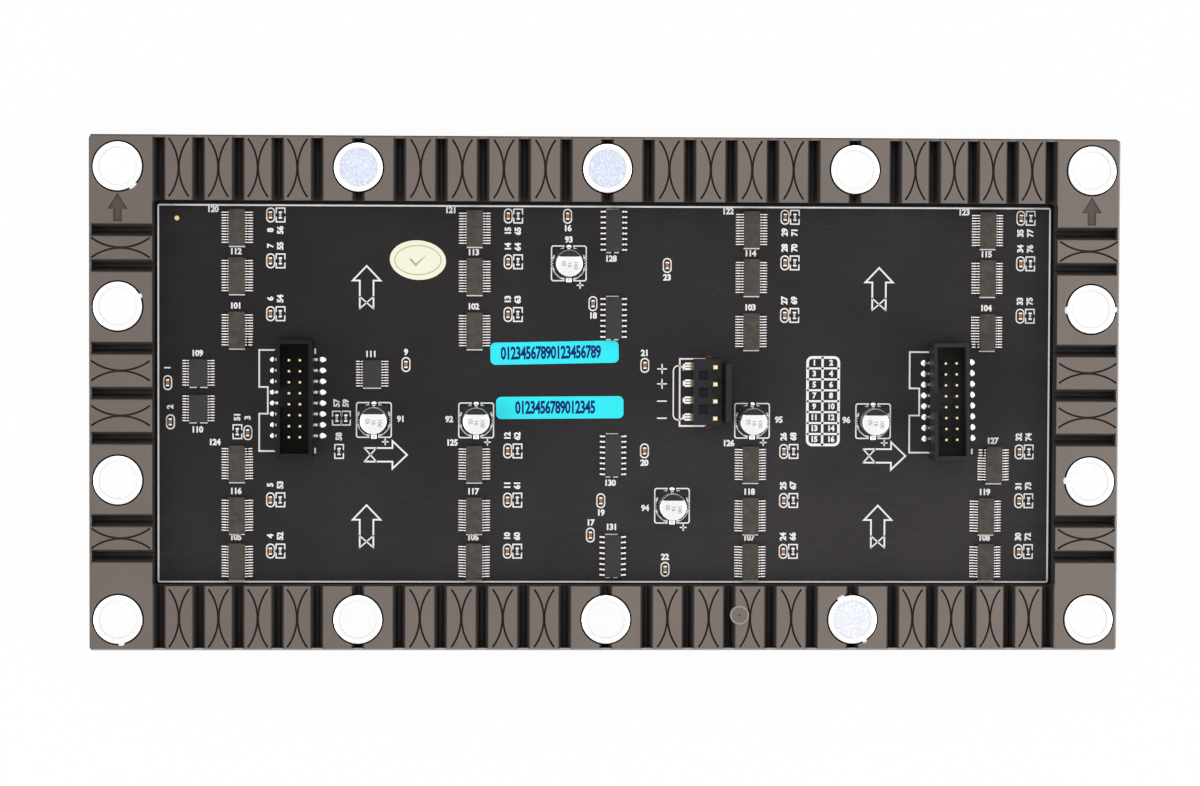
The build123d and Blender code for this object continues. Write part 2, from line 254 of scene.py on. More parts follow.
def clear_faces():
    """Delete the selected faces."""
    bpy.ops.mesh.delete(type="FACE")


def pull(x, y, z):
    """Extrude the selection by a distance."""
    bpy.ops.mesh.extrude_region_move(TRANSFORM_OT_translate={"value": (x, y, z)})


def resize(x, y, about=(0, 0, 0)):
    """Scale the selection along X and Y."""
    bpy.ops.transform.resize(value=(x, y, 1), center_override=about)


def settle(name, stretch=(1, 1, 1)):
    """Name the active object, stretch it along its own axes and apply its place, turn and scale."""
    piece = bpy.context.view_layer.objects.active
    piece.name = name
    piece.scale = [side * by for side, by in zip(piece.scale, stretch)]
    bpy.ops.object.transform_apply(location=True, rotation=True, scale=True)
    return piece


def outward(piece):
    """Merge doubled points and turn all faces outwards."""
    edit(piece)
    bpy.ops.mesh.remove_doubles(threshold=MERGE)
    bpy.ops.mesh.normals_make_consistent(inside=False)
    close_edit()
    return piece


def block(name, low, high):
    """A box between two corners, to be shaped further."""
    low, high = Vector(low), Vector(high)
    deselect()
    bpy.ops.mesh.primitive_cube_add(size=1, location=(low + high) / 2, scale=high - low)
    return settle(name)


def ball(name, radius, place, stretch, segments=20, rings=10, turn=0.0):
    """A stretched ball, to be shaped further."""
    deselect()
    bpy.ops.mesh.primitive_uv_sphere_add(segments=segments, ring_count=rings, radius=radius, location=place,
                                         rotation=(0, 0, turn), scale=stretch)
    return settle(name)


def rod(name, radius, length, place, vertices, turn=(0, 0, 0)):
    """A round rod, to cut with or to be shaped further."""
    deselect()
    bpy.ops.mesh.primitive_cylinder_add(vertices=vertices, radius=radius, depth=length, location=place,
                                        rotation=turn)
    return settle(name)


def disc(name, vertices, radius=1.0, place=(0, 0, 0), stretch=(1, 1, 1)):
    """A flat filled circle, to be shaped further."""
    deselect()
    bpy.ops.mesh.primitive_circle_add(vertices=vertices, fill_type="NGON", radius=radius, location=place)
    return settle(name, stretch)


def modify(piece, kind, **options):
    """Apply a modifier to a piece."""
    activate(piece)
    modifier = piece.modifiers.new("change", kind)
    for key, value in options.items():
        setattr(modifier, key, value)
    bpy.ops.object.modifier_apply(modifier=modifier.name)
    return piece


def bevel_all(piece, width, segments=2, angle=30):
    """Round every edge that is sharper than an angle."""
    return modify(piece, "BEVEL", width=width, segments=segments, limit_method="ANGLE",
                  angle_limit=math.radians(angle), use_clamp_overlap=True)


def smooth(piece, angle=35):
    """Smooth shading, sharp past an angle, that leaves broad flat faces flat."""
    activate(piece)
    bpy.ops.object.shade_smooth_by_angle(angle=math.radians(angle))
    return modify(piece, "WEIGHTED_NORMAL", keep_sharp=True)


def cut(piece, cutter):
    """Cut one closed piece out of another."""
    modify(piece, "BOOLEAN", operation="DIFFERENCE", solver="EXACT", object=cutter)
    bpy.data.objects.remove(cutter)
    return piece


def keep_above_board(piece):
    """Cut off what is below the board's face, and close the cut."""
    edit(piece)
    bpy.ops.mesh.bisect(plane_co=(0, 0, board_face), plane_no=(0, 0, 1), clear_inner=True, use_fill=True)
    close_edit()
    return piece


def join(pieces, name):
    """Join pieces into one that sits at the origin."""
    activate(*pieces)
    bpy.ops.object.join()
    return settle(name)


def copy_at(master, place, turn=0.0):
    """A copy of a piece with its own mesh, placed and turned about Z."""
    copy = master.copy()
    copy.data = master.data.copy()
    copy.name = "copy"
    bpy.context.collection.objects.link(copy)
    copy.matrix_world = Matrix.Translation(place) @ Matrix.Rotation(turn, 4, "Z") @ master.matrix_world
    return copy


def copies(master, places, name):
    """Copies of a piece at places (x, y, turn), joined. The piece itself goes."""
    made = [copy_at(master, (x, y, 0), turn) for x, y, turn in places]
    bpy.data.objects.remove(master)
    return join(made, name)


def spun(name, start, moves, steps, angle):
    """A point drawn out by moves and spun about Z."""
    deselect()
    bpy.ops.mesh.primitive_plane_add(size=1)
    piece = settle(name)
    edit(piece, "VERT")
    bpy.ops.mesh.merge(type="CENTER")
    bpy.ops.transform.translate(value=start)
    for move in moves:
        pull(*move)
    pick_all()
    bpy.ops.mesh.spin(steps=steps, angle=angle, center=(0, 0, 0), axis=(0, 0, 1))
    close_edit()
    return piece


def turned(name, profile, steps=64):
    """A solid of revolution about Z, from points of radius and height with both ends on the axis."""
    moves = [(b[0] - a[0], 0, b[1] - a[1]) for a, b in zip(profile, profile[1:])]
    return outward(spun(name, (profile[0][0], 0, profile[0][1]), moves, steps, TURN))


def polygon(name, points, height):
    """A flat face through points, at a height."""
    piece = disc(name, len(points))
    for vertex, (x, y) in zip(piece.data.vertices, points):
        vertex.co = (x, y, height)
    return outward(piece)


def rectangle(low_x, low_y, high_x, high_y):
    """Corners of a rectangle, going round from its lower left."""
    return [(low_x, low_y), (high_x, low_y), (high_x, high_y), (low_x, high_y)]


def hollow(piece, line, corner=0.0, corner_steps=3):
    """Open a flat piece and leave only a line round it, with its corners rounded."""
    edit(piece)
    if corner:
        bpy.ops.mesh.bevel(offset=corner, segments=corner_steps, affect="VERTICES")
        pick_all()
    bpy.ops.mesh.inset(thickness=line)
    clear_faces()


def outline(name, points, line, open_sides=(), **corner):
    """A flat printed line round the inside of a shape, without the sides that are left open."""
    piece = polygon(name, points, board_face)
    middles = [(Vector(a) + Vector(b)) / 2 for a, b in zip(points, points[1:] + points[:1])]
    hollow(piece, line, **corner)
    for side in open_sides:
        centres = [face.calc_center_median() for face in bmesh.from_edit_mesh(piece.data).faces]
        nearest = min(centres, key=lambda centre: (centre.xy - middles[side]).length)
        pick_faces(piece, lambda centre, normal: centre == nearest)
        clear_faces()
    close_edit()
    return piece


def stroke(name, start, end, line):
    """A flat printed straight line between two points."""
    start, end = Vector(start), Vector(end)
    along = (end - start).normalized() * line / 2
    side = Vector((-along.y, along.x))
    corners = [start - along - side, end + along - side, end + along + side, start - along + side]
    return polygon(name, [tuple(corner) for corner in corners], board_face)


def raise_print(piece, height):
    """Give a flat print its thickness."""
    edit(piece)
    pull(0, 0, height)
    close_edit()
    return outward(piece)


def numbers(name, entries, height, bold, level, thick=THIN_INK, condense=1.0):
    """Plain numbers, from entries (text, x, y, turn), as one closed mesh."""
    made = []
    for text, x, y, turn in entries:
        deselect()
        bpy.ops.object.text_add(location=(x, y, level + thick / 2), rotation=(0, 0, turn))
        letter = bpy.context.view_layer.objects.active
        letter.data.body = text
        letter.data.size = height
        letter.data.align_x = "CENTER"
        letter.data.align_y = "CENTER"
        letter.data.resolution_u = 2
        letter.data.space_character = 0.92
        letter.data.offset = bold
        letter.data.extrude = thick / 2
        letter.scale.x = condense
        made.append(letter)
    activate(*made)
    bpy.ops.object.convert(target="MESH")
    return outward(join(bpy.context.selected_objects[:], name))


def merged_copy(node, name):
    """A copy of a solid with its loose triangles merged into faces."""
    source = frame["nodes"][node]
    piece = source.copy()
    piece.data = source.data.copy()
    piece.name = name
    piece.parent = None
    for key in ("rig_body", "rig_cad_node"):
        del piece[key]
    bpy.context.collection.objects.link(piece)
    edit(piece)
    bpy.ops.mesh.customdata_custom_splitnormals_clear()
    bpy.ops.mesh.remove_doubles(threshold=MERGE)
    bpy.ops.mesh.dissolve_limited(angle_limit=math.radians(0.5))
    close_edit()
    activate(piece)
    bpy.ops.object.shade_flat()
    return piece


def solids_of(node):
    """Lowest and highest corner of each separate solid in a node."""
    shape = bmesh.new()
    shape.from_mesh(frame["nodes"][node].data)
    bmesh.ops.remove_doubles(shape, verts=shape.verts, dist=MERGE)
    left = set(shape.verts)
    boxes = []
    while left:
        group = [left.pop()]
        for vertex in group:
            for edge in vertex.link_edges:
                other = edge.other_vert(vertex)
                if other in left:
                    left.remove(other)
                    group.append(other)
        boxes.append([Vector(end(v.co[axis] for v in group) for axis in range(3)) for end in (min, max)])
    shape.free()
    return sorted(boxes, key=lambda box: (round(box[0].x, 5), round(box[0].y, 5)))


def middle(box):
    """Centre of a box."""
    return (box[0] + box[1]) / 2


def centres_of(node):
    """Places (x, y, 0) of the separate solids in a node."""
    return [(middle(box).x, middle(box).y, 0.0) for box in solids_of(node)]


def chip_names():
    """Names of all the chips."""
    return sorted(name for name in frame["nodes"]
                  if "_driver_" in name or name.startswith(("buffer_", "row_switch")))


def spread(centre, pitch, count):
    """Evenly spaced positions about a centre."""
    return [centre + pitch * (step - (count - 1) / 2) for step in range(count)]


def dress(piece, slot, *nodes):
    """Let a finished piece ride on the module, and hide the nodes that it stands for."""
    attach(piece, "root")
    if nodes:
        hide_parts(*nodes)


# Materials

def feed(tree, node, inputs):
    """Set a node's inputs, each to a value or to another node's output."""
    for key, value in inputs.items():
        socket = node.inputs[key]
        if isinstance(value, bpy.types.NodeSocket):
            tree.links.new(value, socket)
        else:
            socket.default_value = (*value, 1) if socket.type == "RGBA" else value


def add_node(tree, kind, inputs=None, **options):
    """Add a node with its settings and its inputs. Returns its outputs."""
    node = tree.nodes.new("ShaderNode" + kind)
    for key, value in options.items():
        setattr(node, key, value)
    feed(tree, node, inputs or {})
    return node.outputs


def blank(name, constants):
    """A material with its shader's constants set. Returns it with its tree, shader and coordinates."""
    material = bpy.data.materials.new(name)
    material.use_nodes = True
    tree = material.node_tree
    shader = tree.nodes["Principled BSDF"]
    feed(tree, shader, constants)
    return material, tree, shader, add_node(tree, "TexCoord")["Object"]


def surface(tree, shader, colour, pattern, roughness, relief, strength, depth_mm):
    """Give a shader its colour, a roughness that follows a pattern, and a relief of a real depth."""
    dull = add_node(tree, "MapRange", {"Value": pattern, "To Min": roughness[0], "To Max": roughness[1]})
    bump = add_node(tree, "Bump", {"Height": relief, "Strength": strength, "Distance": depth_mm * MM})
    feed(tree, shader, {"Base Color": colour, "Roughness": dull["Result"], "Normal": bump["Normal"]})


def scaled(colour, share):
    """A colour made darker or lighter."""
    return tuple(min(1.0, channel * share) for channel in colour)


def grained(name, colour, constants, grain_mm, contrast, roughness, depth_mm, stretch=(1, 1, 1)):
    """A material whose colour, roughness and relief vary by a grain of a real size.

    contrast is the colour's lightest and darkest share, roughness its two ends.
    """
    material, tree, shader, place = blank(name, constants)
    grain_place = add_node(tree, "Mapping", {"Vector": place, "Scale": stretch})["Vector"]
    grain = add_node(tree, "TexNoise", {
        "Vector": grain_place, "Scale": 1 / (grain_mm * MM), "Detail": 5.0, "Roughness": 0.6})["Fac"]
    tone = add_node(tree, "Mix", {
        "Factor": grain, "A": scaled(colour, contrast[0]), "B": scaled(colour, contrast[1])}, data_type="RGBA")
    surface(tree, shader, tone["Result"], grain, roughness, grain, 0.5, depth_mm)
    return material


def rubber_material(look, name, sunk):
    """Thermoplastic rubber from an eroded mould with a dull fine grain, painted a little paler towards the right-hand
    end as painted light, and, for faces below the top, painted darker with depth as painted shade.
    """
    material, tree, shader, place = blank(name, {"Specular IOR Level": 0.18})
    grain = add_node(tree, "TexNoise", {"Vector": place, "Scale": 1 / (0.25 * MM), "Detail": 6.0})["Fac"]
    cloud = add_node(tree, "TexNoise", {"Vector": place, "Scale": 1 / (18 * MM), "Detail": 3.0})["Fac"]
    both = add_node(tree, "Mix", {"Factor": 0.35, "A": grain, "B": cloud}, data_type="FLOAT")["Result"]
    colour = add_node(tree, "Mix", {
        "Factor": both, "A": scaled(look.rubber, 0.66), "B": scaled(look.rubber, 1.34)}, data_type="RGBA")["Result"]
    parted = add_node(tree, "SeparateXYZ", {"Vector": place})
    # Painted light: the rubber is painted a little paler towards the right-hand end, where the light falls stronger
    tone = add_node(tree, "MapRange", {
        "Value": parted["X"], "From Min": frame_low.x, "From Max": frame_high.x, "To Min": 0.88, "To Max": 1.09})
    colour = add_node(tree, "VectorMath", {0: colour, "Scale": tone["Result"]}, operation="SCALE")["Vector"]
    # Painted shade: deeper faces are painted darker, towards the groove colour
    if sunk:
        depth = add_node(tree, "MapRange", {
            "Value": parted["Z"], "From Min": frame_high.z - 0.62 * MM, "From Max": frame_high.z - 0.05 * MM})
        colour = add_node(tree, "Mix", {
            "Factor": depth["Result"], "A": look.groove, "B": colour}, data_type="RGBA")["Result"]
    surface(tree, shader, colour, grain, (0.62, 0.82), grain, 0.35, 0.03)
    return material


def solder_mask_material(look):
    """Black solder mask over copper: satin gloss, tracks that just show through, fine scratches and dust."""
    material, tree, shader, place = blank("black_solder_mask", {"Specular IOR Level": 0.12, "Coat Weight": 0.0})
    cloud, grain = (
        add_node(tree, "TexNoise", {"Vector": place, "Scale": 1 / (grain_mm * MM), "Detail": detail})["Fac"]
        for grain_mm, detail in ((30, 4.0), (0.6, 3.0)))
    tracks = add_node(tree, "TexWave", {
        "Vector": place, "Scale": 1 / (22 * MM), "Distortion": 1.5, "Detail": 1.0, "Detail Scale": 0.4},
        bands_direction="Y")["Fac"]
    along = add_node(tree, "Mapping", {"Vector": place, "Scale": (0.05, 1, 1), "Rotation": (0, 0, 0.05)})["Vector"]
    scratch = add_node(tree, "TexNoise", {"Vector": along, "Scale": 1 / (0.5 * MM), "Detail": 2.0})["Fac"]
    worn = add_node(tree, "MapRange", {"Value": scratch, "From Min": 0.45, "From Max": 0.85, "To Max": 0.1})
    dust = add_node(tree, "TexVoronoi", {"Vector": place, "Scale": 1 / (5 * MM)})["Distance"]
    speck = add_node(tree, "MapRange", {
        "Value": dust, "From Min": 0.02, "From Max": 0.035, "To Min": 0.35, "To Max": 0.0})
    # Painted shade next to the frame's wall: outside the border the mask is painted much darker. Partly real too, as
    # the copper fill stops short of the board's edge and bare laminate shows darker through the mask
    across = add_node(tree, "VectorMath", {0: place}, operation="ABSOLUTE")["Vector"]
    sides = add_node(tree, "SeparateXYZ", {"Vector": across})
    inside = [add_node(tree, "Math", {0: sides[axis], 1: length / 2}, operation="LESS_THAN")["Value"]
              for axis, length in (("X", look.border_length), ("Y", look.border_width))]
    fill = add_node(tree, "Math", dict(enumerate(inside)), operation="MULTIPLY")["Value"]
    mottle = add_node(tree, "Mix", {"Factor": 0.4, "A": cloud, "B": grain}, data_type="FLOAT")["Result"]
    colour = scaled(look.mask, 0.3)
    for factor, over in ((mottle, scaled(look.mask, 1.8)), (worn["Result"], linear("4a484c")),
                         (speck["Result"], linear("6e6b70"))):
        colour = add_node(tree, "Mix", {"Factor": factor, "A": colour, "B": over}, data_type="RGBA")["Result"]
    colour = add_node(tree, "Mix", {
        "Factor": fill, "A": scaled(look.mask, 0.2), "B": colour}, data_type="RGBA")["Result"]
    # Painted reflection: the black is painted a little greyer towards the right-hand end and the near side
    parted = add_node(tree, "SeparateXYZ", {"Vector": place})
    reflection_tones = [add_node(tree, "MapRange", {
        "Value": parted[axis], "From Min": low * MM, "From Max": high * MM, "To Min": first, "To Max": last})["Result"]
        for axis, low, high, first, last in (("X", -90, 60, 0.8, 1.18), ("Y", -28, 0, 1.36, 1.0))]
    tone = add_node(tree, "Math", dict(enumerate(reflection_tones)), operation="MULTIPLY")["Value"]
    reflection_toned = add_node(tree, "VectorMath", {0: colour, "Scale": tone}, operation="SCALE")["Vector"]
    surface(tree, shader, reflection_toned, cloud, (0.22, 0.4), tracks, 0.25, 0.02)
    return material


def zinc_material(name, colour):
    """Zinc-plated magnet face: bluish crystals with a soft dull shine, tinted by its passivation."""
    material, tree, shader, place = blank(name, {"Metallic": 1.0})
    crystals = add_node(tree, "TexVoronoi", {"Vector": place, "Scale": 1 / (0.5 * MM)})["Distance"]
    film = add_node(tree, "TexNoise", {"Vector": place, "Scale": 1 / (4 * MM), "Detail": 2.0})["Fac"]
    tone, tint = (
        add_node(tree, "Mix", {"Factor": factor, "A": first, "B": last}, data_type="RGBA")["Result"]
        for factor, first, last in ((crystals, scaled(colour, 0.8), scaled(colour, 1.12)),
                                    (film, linear("d2e4f4"), linear("ebe2ee"))))
    both = add_node(tree, "Mix", {"Factor": 0.55, "A": tone, "B": tint}, data_type="RGBA", blend_type="MULTIPLY")
    surface(tree, shader, both["Result"], crystals, (0.3, 0.5), crystals, 0.3, 0.02)
    return material


finishes = {}


def make_finishes(scene):
    """Make every finish of the module, by name."""
    rubber, board, parts, front = scene.led_frame, scene.led_board, scene.led_parts, scene.led_front
    finishes.update(
        rubber=rubber_material(rubber, "moulded_rubber", False),
        sunk_rubber=rubber_material(rubber, "moulded_rubber_sunk", True),
        zinc=zinc_material("zinc_plate", rubber.zinc),
        pale_zinc=zinc_material("pale_zinc_plate", rubber.pale_zinc),
        solder_mask=solder_mask_material(board))
    # Finish, material, colour, metal or gloss level, grain in mm, contrast, roughness, relief in mm, stretch
    metals = (
        # Bright nickel on turned steel: nearly a mirror, with faint polishing haze
        ("nickel", "nickel_plate", rubber.nickel, 1.0, 0.6, (0.94, 1.05), (0.18, 0.3), 0.004),
        # Reflowed solder and tinned leads: bright, soft-edged shine
        ("solder", "solder", parts.solder, 0.95, 0.3, (0.94, 1.05), (0.18, 0.3), 0.006),
        # Fresh hand solder: smooth shiny domes that mirror the white surroundings
        ("fresh_solder", "fresh_solder", linear("fffefd"), 1.0, 0.3, (0.97, 1.04), (0.16, 0.26), 0.004),
        # Flash gold over nickel on square pins
        ("pin", "pin_plating", parts.pin, 1.0, 0.3, (0.92, 1.05), (0.15, 0.3), 0.004),
        # Stamped brass strip: rolled lines along it, and a little tarnish
        ("brass", "stamped_brass", parts.brass, 1.0, 0.2, (0.8, 1.15), (0.25, 0.4), 0.01, (0.15, 1, 1)),
        # Drawn aluminium can: satin, with faint drawing lines round it
        ("can", "drawn_aluminium", parts.can, 1.0, 0.25, (0.93, 1.05), (0.25, 0.38), 0.005, (1, 1, 0.1)),
        # Immersion gold on bare copper
        ("gold", "immersion_gold", linear("f0c489"), 1.0, 0.2, (0.9, 1.08), (0.25, 0.4), 0.004),
    )
    plain = (
        # Rubber scuffed at the injection gate, and a pale bluish painted highlight on the lip dips that face the light
        ("pale_rubber", "scuffed_rubber", linear("a5978e"), 0.2, 0.3, (0.8, 1.2), (0.55, 0.75), 0.02),
        ("lip_rubber", "rubbed_rubber", linear("a4a3a6"), 0.2, 0.4, (0.8, 1.15), (0.5, 0.7), 0.02),
        # Screen-printed epoxy ink: flat white with a slightly pitted edge, and its black and grey on cans
        ("ink", "print_ink", board.ink, 0.2, 0.2, (0.9, 1.06), (0.55, 0.7), 0.01),
        ("can_print", "can_print", linear("2b2a2b"), 0.2, 0.5, (0.75, 1.25), (0.4, 0.6), 0.008),
        ("grey_ink", "grey_ink", linear("858080"), 0.2, 0.2, (0.85, 1.15), (0.5, 0.7), 0.004),
        # Moulded epoxy of chip bodies: dark grey-brown, eroded mould grain
        ("epoxy", "chip_epoxy", parts.epoxy, 0.15, 0.7, (0.65, 1.3), (0.5, 0.7), 0.01),
        ("marked_epoxy", "driver_chip_epoxy", parts.marked_epoxy, 0.15, 1.6, (0.3, 1.7), (0.5, 0.7), 0.01),
        # Glass-filled nylon of connectors: dull black with a light moulded grain. The darker one is also the painted
        # shade in the gate mark's pit
        ("nylon", "connector_nylon", parts.housing, 0.2, 0.5, (0.7, 1.35), (0.42, 0.62), 0.012),
        ("dark_nylon", "dark_connector_nylon", linear("151416"), 0.15, 0.5, (0.7, 1.35), (0.5, 0.68), 0.012),
        # Barium titanate body of a ceramic capacitor, sintered and unglazed
        ("ceramic", "capacitor_ceramic", linear("a9744b"), 0.3, 0.15, (0.8, 1.2), (0.4, 0.6), 0.006),
        # Glazed top of a chip resistor
        ("glaze", "resistor_glaze", linear("242326"), 0.4, 0.15, (0.7, 1.5), (0.25, 0.4), 0.004),
        # Fluorescent coated paper and plain cream paper, with flat printing ink on each
        ("sticker", "cyan_paper", board.sticker, 0.15, 2.5, (0.92, 1.06), (0.4, 0.55), 0.02),
        ("sticker_ink", "navy_ink", board.sticker_ink, 0.15, 0.3, (0.8, 1.3), (0.5, 0.7), 0.004),
        ("oval", "cream_paper", board.oval, 0.15, 1.5, (0.95, 1.03), (0.45, 0.6), 0.01),
        ("oval_ink", "olive_ink", board.oval_ink, 0.15, 0.3, (0.85, 1.15), (0.5, 0.7), 0.004),
        # Cured white silicone adhesive, and a brushed dab of red lacquer
        ("adhesive", "white_adhesive", linear("f4f3f0"), 0.4, 0.4, (0.94, 1.04), (0.3, 0.45), 0.03),
        ("red_dab", "red_lacquer", linear("4a1214"), 0.4, 0.4, (0.7, 1.4), (0.3, 0.5), 0.01),
        # Matt black silicone rubber of the front mask
        ("silicone", "black_silicone", front.silicone, 0.12, 0.3, (0.75, 1.3), (0.7, 0.9), 0.02),
        # Lamps: a dull moulded package round clear cast resin, which is glossy and pale
        ("lamp_case", "lamp_package", linear("232325"), 0.25, 0.3, (0.8, 1.25), (0.45, 0.6), 0.006),
        ("lamp_resin", "lamp_resin", linear("b9b7a4"), 0.5, 0.35, (0.8, 1.15), (0.12, 0.25), 0.01),
    )
    for kind, rows in (("Metallic", metals), ("Specular IOR Level", plain)):
        for finish, name, colour, level, *grain in rows:
            finishes[finish] = grained(name, colour, {kind: level}, *grain)


def paint(piece, *names):
    """Give a piece its finishes, in slot order."""
    piece.data.materials.clear()
    for name in names:
        piece.data.materials.append(finishes[name])
    return piece


def paint_faces(piece, slot_number, test):
    """Put the faces that pass a test of centre and normal in another material slot."""
    for face in piece.data.polygons:
        if test(face.center, face.normal):
            face.material_index = slot_number


# Operators, one for each piece or group of like pieces

class LEDMODULE_OT_materials(bpy.types.Operator):
    """Make the finishes of the module"""
    bl_idname = "led_module.materials"
    bl_label = "Materials"

    def execute(self, context):
        make_finishes(context.scene)
        return {"FINISHED"}


class LEDMODULE_OT_rubber_frame(bpy.types.Operator):
    """Model the rubber frame with rounded edges, lip dips and the arcs engraved in its panels"""
    bl_idname = "led_module.rubber_frame"
    bl_label = "Rubber frame"

    def execute(self, context):
        look, top = context.scene.led_frame, frame_high.z
        edge_x, edge_y = frame_high.x - look.lip_wall, frame_high.y - look.lip_wall
        piece = merged_copy("rear_frame", "rubber_frame")
        cut(piece, self.shoulders(look))
        for turn in (0, TURN / 2):
            cut(piece, self.arcs(look, turn))
        cut(piece, self.lip_dips(look))
        paint(piece, "rubber", "sunk_rubber", "lip_rubber")

        def on_lip(centre):
            return abs(centre.x) > edge_x or abs(centre.y) > edge_y

        # Painted shade: the far and left lips face away from the light, and their sloped edges are painted darker
        def on_dark_lip(centre):
            return centre.x < -edge_x or centre.y > edge_y

        def in_dip(centre):
            return top - look.dip_depth - 0.05 * MM < centre.z < top - 0.15 * MM

        # Painted shade: the faces below the top, off the lips, take the rubber that is painted darker with depth
        paint_faces(piece, 1, lambda centre, normal:
                    frame_low.z + 0.1 * MM < centre.z < top - 0.02 * MM and not on_lip(centre))
        # Painted highlight: the dips in the near and right lips are painted pale and bluish
        paint_faces(piece, 2, lambda centre, normal:
                    in_dip(centre) and normal.z > 0.7 and on_lip(centre) and not on_dark_lip(centre))
        # Painted shade on the sloped edges of the far and left lips
        paint_faces(piece, 1, lambda centre, normal:
                    0.3 < normal.z < 0.95 and on_dark_lip(centre) and centre.z > top - 0.6 * MM)
        dress(smooth(piece, 40), "rubber_grey", "rear_frame")
        self.gate_mark(top)
        return {"FINISHED"}

    @staticmethod
    def gate_mark(top):
        """Round mark where the rubber was injected, with a raised edge and a small pit."""
        place = Vector(mm(31.2, -51.4, 0))
        foot, rim, pit = frame_low.z + 0.2 * MM, 2.2 * MM, 0.2 * MM
        mark = turned("gate_mark", [
            (0, foot), (rim, foot), (rim, top + 0.04 * MM), (2.1 * MM, top + 0.1 * MM),
            (1.85 * MM, top + 0.03 * MM), (pit, top + 0.03 * MM), (0.16 * MM, top - pit), (0, top - pit)], 40)
        mark = paint(copies(mark, [tuple(place)], "gate_mark"), "rubber", "dark_nylon", "pale_rubber")
        # Painted shade: the small pit is painted in the dark nylon colour
        paint_faces(mark, 1, lambda centre, normal: centre.z < top and (centre - place).xy.length < 0.3 * MM)
        paint_faces(mark, 2, lambda centre, normal: centre.z > top + 0.035 * MM)
        dress(smooth(mark), "rubber_grey")

    @staticmethod
    def magnet_columns():
        """Places along the module of its five magnet columns."""
        return sorted({round(x, 5) for x, y, turn in centres_of("pot_magnets")})

    def long_groups(self, look):
        """Centre and pitch of the groove groups along a long side, between neighbouring magnets."""
        columns = self.magnet_columns()
        pitches = (look.outer_pitch, look.inner_pitch, look.inner_pitch, look.outer_pitch)
        return [((a + b) / 2, pitch) for a, b, pitch in zip(columns, columns[1:], pitches)]

    def grooves(self, look):
        """Centres of the grooves in the long sides, by X, and in the ends, by Y."""
        grooves = [x for centre, pitch in self.long_groups(look) for x in spread(centre, pitch, 5)]
        ends = [y for side in SIDES for y in spread(side * look.end_group, look.end_pitch, 2)]
        return grooves + self.magnet_columns()[1:-1], spread(0, look.end_middle_pitch, 3) + ends

    @staticmethod
    def around(along, across, reach_x, reach_y, turn=0):
        """Places at both long sides, by X, and at both ends, by Y."""
        return [(x, side * reach_y, turn) for x in along for side in SIDES] + [
            (side * reach_x, y, turn + TURN / 4) for y in across for side in SIDES]

    def lip_dips(self, look):
        """Cylinders that dip the thin lip at the outer end of each groove."""
        radius = (look.dip_width ** 2 / 4 + look.dip_depth ** 2) / (2 * look.dip_depth)
        dip = rod("lip_dip", radius, 2 * look.lip_wall, (0, 0, frame_high.z + radius - look.dip_depth), 40,
                  (TURN / 4, 0, 0))
        return copies(dip, self.around(*self.grooves(look), frame_high.x, frame_high.y), "lip_dips")

    def shoulders(self, look):
        """Troughs that round the long top edges of every groove."""
        half, top, overlap = look.groove_width / 2, frame_high.z, 1.5 * MM
        curve = [mm(-0.06, look.groove_fall / MM + 0.12)]
        for angle in (30, 55, 75, 90):
            turn = math.radians(angle)
            curve.append((look.groove_radius * (1 - math.cos(turn)), look.groove_fall * (1 - math.sin(turn))))
        curve.append((look.groove_radius, -0.4 * MM))
        grooves, ends = self.grooves(look)
        cutters = []
        for centres, inner, outer, turns in (
                (grooves, look.window_width / 2 - overlap, frame_high.y - look.lip_wall, (0, TURN / 2)),
                (ends, look.window_length / 2 - overlap, frame_high.x - look.lip_wall, (-TURN / 4, TURN / 4))):
            width, level = half + curve[0][0], top - curve[0][1]
            trough = block("trough", (-width, inner, level - 0.05 * MM), (width, outer, level))
            edit(trough)
            for offset, depth in curve[1:]:
                pick_faces(trough, lambda centre, normal: normal.z > FACING)
                pull(0, 0, top - depth - level)
                resize((half + offset) / width, 1)
                width, level = half + offset, top - depth
            close_edit()
            outward(trough)
            places = [(x, 0, turn) if turns[0] == 0 else (0, x, turn) for x in centres for turn in turns]
            cutters.append(copies(trough, places, "troughs"))
        return join(cutters, "troughs")

    def arcs(self, look, turn):
        """The engraved arcs of one hand, for every panel."""
        half = look.arc_chord / 2
        radius = (half ** 2 + look.arc_spread ** 2) / (2 * look.arc_spread)
        angle = 2 * math.asin(half / radius)
        start = Vector((math.cos(angle / 2), math.sin(angle / 2), 0))
        arc = spun("arc", start * (radius - look.arc_line / 2), [start * look.arc_line], 14, angle)
        edit(arc)
        bpy.ops.transform.translate(value=(-radius - look.arc_gap / 2, 0, frame_high.z - look.arc_depth))
        pull(0, 0, 3 * look.arc_depth)
        close_edit()
        outward(arc)
        along = [x for centre, pitch in self.long_groups(look) for x in spread(centre, pitch, 4)]
        across = [side * look.end_group for side in SIDES] + spread(0, look.end_middle_pitch, 2)
        places = self.around(along, across, frame_high.x - look.end_arc_inset, frame_high.y - look.arc_inset, turn)
        return copies(arc, places, "arcs")


